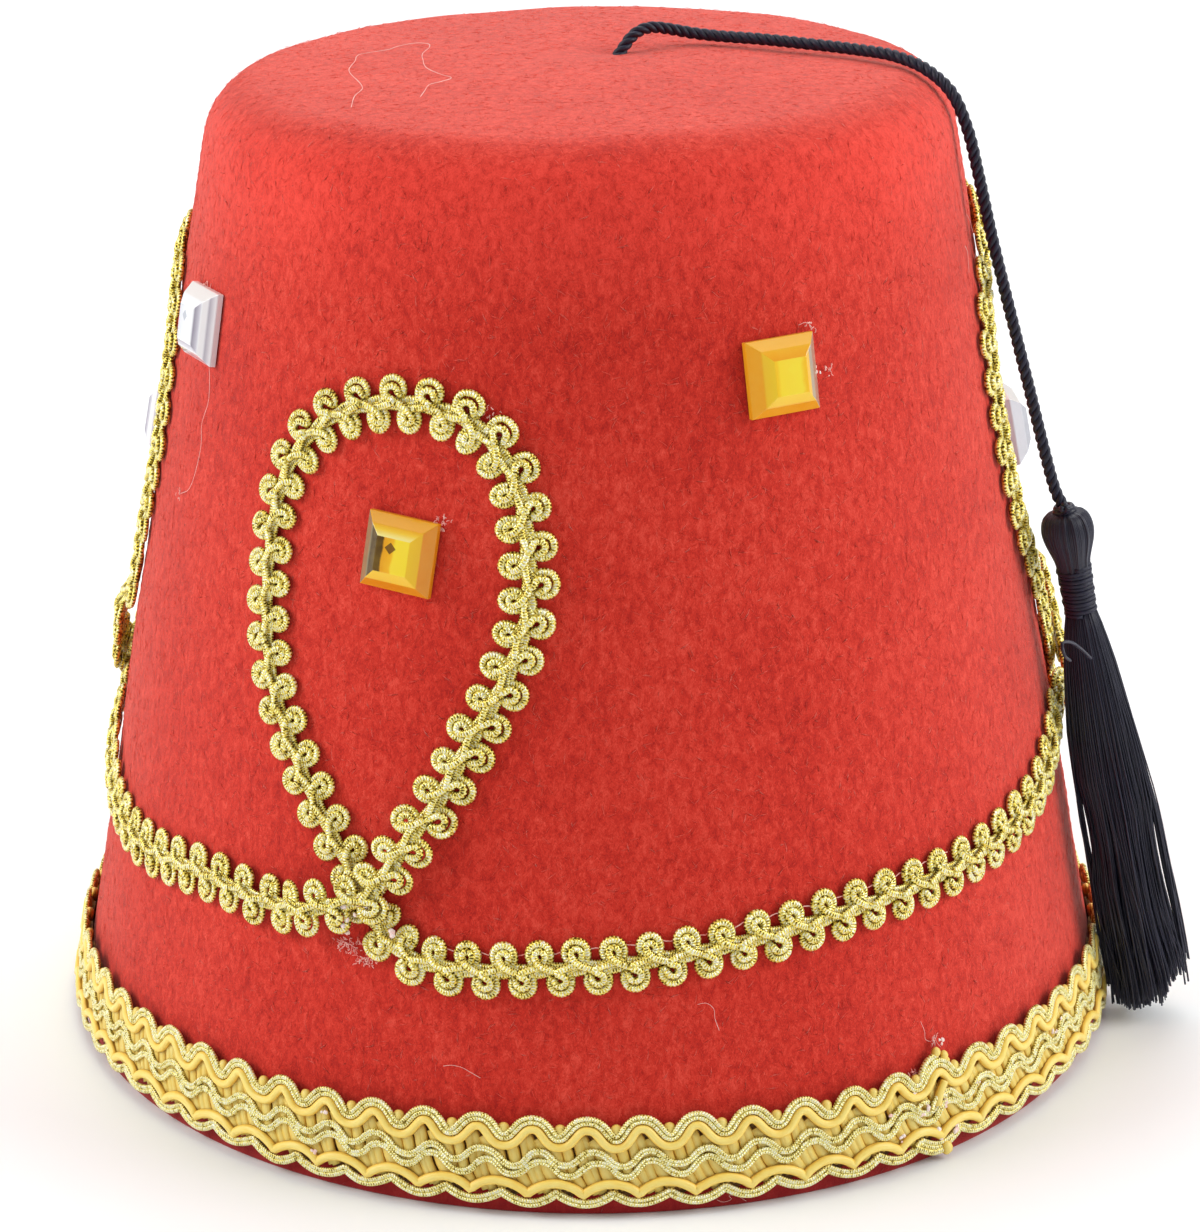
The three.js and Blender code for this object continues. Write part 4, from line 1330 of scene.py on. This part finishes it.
# a line round the tassel's axis: a turn of 0 is across it, and a quarter turn is away from the hat
def around(frames, turn, radius):
    places, _, across, away = frames
    return places + across * (np.cos(turn) * radius)[:, None] + away * (np.sin(turn) * radius)[:, None]


# places spread evenly over a disk
def sunflower(count):
    turn, reach = np.arange(count) * 2.39996, np.sqrt((np.arange(count) + 0.5) / count)
    return np.column_stack([np.cos(turn), np.sin(turn)]) * reach[:, None]


# the threads keep together in locks that part towards the foot; some hang clear of the rest at either side
def skirtRuns():
    start = neckEnd - 1.0
    full = hangLength - start - 0.5
    locks = sunflower(threads["locks"]) * 0.97 + dice.normal(0, 0.05, (threads["locks"], 2))
    shorter = np.abs(dice.normal(0, threads["ragged"], threads["locks"]))
    spots = [(*spot, 0) for spot in sunflower(threads["count"])]
    for side, count, *_ in threads["partings"]:
        spots += [(dice.normal(0, 0.1), side * dice.normal(1.0, 0.035), side) for _ in range(count)]
    shares = np.linspace(0, 1, threads["stations"])
    runs = []
    for number, (right, out, apart) in enumerate(spots):
        spot = np.array([right, out])
        lock = np.argmin(np.hypot(*(locks - spot).T))
        length = full - shorter[lock] - max(0.0, out) * threads["outerShort"] - abs(dice.normal(0, 0.3))
        places, _, across, away = hangFrames(start + shares * length)
        down = shares * length / full
        gather = 0 if apart else threads["gather"]
        place = spot + np.outer(gather * down ** 1.5, locks[lock] - spot)
        sway = threads["sway"] * (3 if number % 31 == 0 else 1)
        turns, waves = dice.uniform(0.6, 1.9), dice.uniform(0, 2 * np.pi, 2)
        place += sway * down[:, None] * np.sin(2 * np.pi * turns * down[:, None] + waves)
        for side, _, first, last, pull in threads["partings"]:
            if not apart and place[-1, 1] * side > 0:
                between = np.clip((down - first) / (last - first), 0, 1)
                place[:, 1] *= 1 - pull * np.sin(np.pi * between) ** 0.7
        place *= skirtRadius(down)[:, None]
        line = places + across * place[:, :1] + away * place[:, 1:]
        up = (across * right + away * out) / math.hypot(right, out)
        runs.append({"line": line, "up": up, "wide": threads["width"] * (1 + dice.normal(0, 0.12))})
    return runs


# strands that stand apart from the rest, on the side away from the hat and at the foot
def looseRuns():
    runs = []
    for _ in range(threads["loose"]):
        angle = -math.pi / 2 + dice.normal(0, 0.5)
        start = dice.uniform(24, 36)
        last = hangLength - abs(dice.normal(0, 5)) - 3
        downs = np.linspace(start, last, 24)
        frames = hangFrames(downs)
        share = np.linspace(0, 1, 24)
        apart = 0.75 * np.sin(np.pi * np.clip(share * 1.15, 0, 1)) ** 2 * dice.uniform(0.3, 1)
        radius = skirtRadius((downs - neckEnd) / (hangLength - neckEnd)) * 0.98 + apart
        radius += 0.2 * np.sin(share * 11 + angle * 7) * share
        drift = angle + 0.1 * np.sin(share * 7 + dice.uniform(0, 6))
        up = frames[2] * np.cos(angle) - frames[3] * np.sin(angle)
        runs.append({"line": around(frames, -drift, radius), "up": up, "wide": 0.17})
    line = evenLine(smoothLine([onFlank(*point) for point in threads["curl"]], 6), 0.4)
    runs.append({"line": line, "up": np.broadcast_to((0.2, 0.1, 1.0), line.shape), "wide": 0.3})
    return runs


def coreRuns():
    downs = np.linspace(0.6, hangLength - 9, 60)
    places, _, _, away = hangFrames(downs)
    head = outlineAt(threads["headOutline"], downs / tassel["headLength"]) * tassel["headDiameter"] / 2 - 0.25
    body = skirtRadius((downs - neckEnd) / (hangLength - neckEnd)) * 0.6
    neck = tassel["neckDiameter"] / 2
    width = np.where(downs < tassel["headLength"], head, np.where(downs < neckEnd, neck, body))
    width[-1] *= 0.3
    return [{"line": places, "up": away, "wide": width}]


def headRuns():
    runs = []
    for number in range(threads["headRibs"]):
        angle = 2 * math.pi * (number + dice.uniform(-0.2, 0.2)) / threads["headRibs"]
        bulge = 1 + dice.normal(0, 0.025)
        shares = np.array([-0.015, 0.0, 0.04, 0.1, 0.2, 0.32, 0.46, 0.6, 0.74, 0.87, 1.0, 1.08])
        downs = shares * tassel["headLength"]
        places, along, across, away = hangFrames(np.maximum(downs, 0))
        places = places + along * np.minimum(downs, 0)[:, None]
        radius = outlineAt(threads["headOutline"], np.maximum(shares, 0)) * tassel["headDiameter"] / 2 * bulge
        radius[0] = 1.15
        turn = angle + 0.1 * shares * math.sin(angle * 3)
        line = around((places, along, across, away), turn, radius)
        lean = 0.6 * (1 - np.clip(shares, 0, 1))[:, None] ** 6
        up = across * np.cos(angle) + away * np.sin(angle) - along * lean
        runs.append({"line": smoothLine(line, 2), "up": smoothLine(up, 2), "wide": 0.2, "high": 0.2})
    return runs


def windingRuns():
    radius = tassel["neckDiameter"] / 2 + 0.62
    shares = np.linspace(0, 1, threads["windings"] * 16)
    frames = hangFrames(tassel["headLength"] - 0.1 + shares * (tassel["neckLength"] + 0.3))
    places, _, across, away = frames
    angle = shares * threads["windings"] * 2 * np.pi
    line = around(frames, angle, radius + 0.1 * np.sin(angle * 0.37) - 0.25 * shares)
    out = across * np.cos(angle)[:, None] + away * np.sin(angle)[:, None]
    return [{"line": line, "up": out, "wide": 0.4, "high": 0.3},
            {"line": places, "up": away, "wide": radius - 0.05 - 0.25 * shares}]


# the loop and the cut end of the cord that sit on top of the head
def topKnotRuns():
    places, along, across, away = hangFrames(np.array([0.0]))
    top, down, side, out = places[0], along[0], across[0], away[0]
    toward = -side if side[0] > 0 else side
    runs = []
    stub = [top - down * 0.2 + toward * 0.6, top - down * 0.9 + toward * 1.7, top - down * 1.7 + toward * 2.7]
    line = smoothLine(stub, 5)
    runs += twist(line, 3, 0.95, 5.0)
    ring = np.linspace(0, 2 * np.pi, 22)[:-1]
    for level, size in ((-0.15, 1.55), (-0.75, 1.35)):
        loop = top + down * level + np.outer(np.cos(ring), side) * size + np.outer(np.sin(ring), out) * size
        runs.append({"line": loop, "up": np.broadcast_to(down, loop.shape) * -1, "wide": 0.5, "closed": True})
    return runs


def makeTassel():
    strands = blackMaterial("black rayon", 0.05, 0.42, 0.5)
    wound = blackMaterial("black winding", 0.6, 0.5, 0.4)
    skirt = cordMesh("tassel_threads", skirtRuns() + looseRuns(), 4)
    core = cordMesh("tassel_core", coreRuns(), 20)
    head = cordMesh("tassel_head", headRuns(), 6)
    winding = cordMesh("tassel_winding", windingRuns(), 6)
    top = cordMesh("tassel_top_knot", topKnotRuns(), 6)
    for piece in (skirt, core, head, top):
        dress(piece, strands, "black_thread", "tassel")
    dress(winding, wound, "black_thread", "tassel_binding")
    print("tassel threads:", len(skirt.data.polygons), "faces")
    return [skirt, core, head, winding, top]


tasselPieces = makeTassel()


def makeKnot():
    deselectAll()
    bpy.ops.mesh.primitive_ico_sphere_add(subdivisions=3, radius=cord["knotDiameter"] / 2 * mm)
    knot = startPiece("inner_knot")
    low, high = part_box("cord_knot")
    middle = (low + high) / 2
    for vertex in knot.data.vertices:
        place = vertex.co / mm
        wind = math.sin(4 * math.atan2(place.y, place.x) + 2.2 * place.z)
        vertex.co *= 1 + 0.07 * wind
        vertex.co += middle
    bpy.ops.object.shade_smooth()
    return dress(knot, blackMaterial("black knot", 0.6, 0.6, 0.3), "black_cord", "cord_knot")


tasselPieces.append(makeKnot())


# the table, a flat pale plane under the hat, and soft light from the left, the right, above and behind
studio = {
    "floorSize": 6.0,
    "floorColour": (0.972, 0.985, 0.995),
    "worldStrength": 0.40,
    "lights": [   # name, place, aimed at, width, strength in watts
        ("left_softbox", (-0.9, -0.15, 0.62), (0, 0, 0.09), 0.7, 6.6),
        ("right_softbox", (0.95, -0.1, 0.6), (0, 0, 0.09), 0.7, 6.9),
        ("top_softbox", (0.05, 0.25, 1.1), (0, 0, 0.1), 0.9, 2.1),
        ("back_softbox", (0.1, 1.25, 1.1), (0.1, 1.0, 0), 1.6, 11.5),
    ],
}


def makeStudio():
    deselectAll()
    bpy.ops.mesh.primitive_plane_add(size=studio["floorSize"], location=(0, 0, 0))
    floor = startPiece("floor")
    material, _, shader = newMaterial("pale table", Roughness=0.6, Specular_IOR_Level=0.2)
    shader.inputs["Base Color"].default_value = (*studio["floorColour"], 1)
    floor.data.materials.append(material)
    world = bpy.data.worlds.new("studio")
    bpy.context.scene.world = world
    world.use_nodes = True
    background = world.node_tree.nodes["Background"]
    background.inputs["Color"].default_value = (1, 1, 1, 1)
    background.inputs["Strength"].default_value = studio["worldStrength"]
    for name, place, aim, width, strength in studio["lights"]:
        bpy.ops.object.light_add(type="AREA", location=place)
        light = bpy.context.object
        light.name = name
        light.data.shape = "DISK"
        light.data.size = width
        light.data.energy = strength
        light.rotation_euler = (Vector(place) - Vector(aim)).to_track_quat("Z", "Y").to_euler()
    bpy.context.scene.view_settings.view_transform = "Standard"


makeStudio()
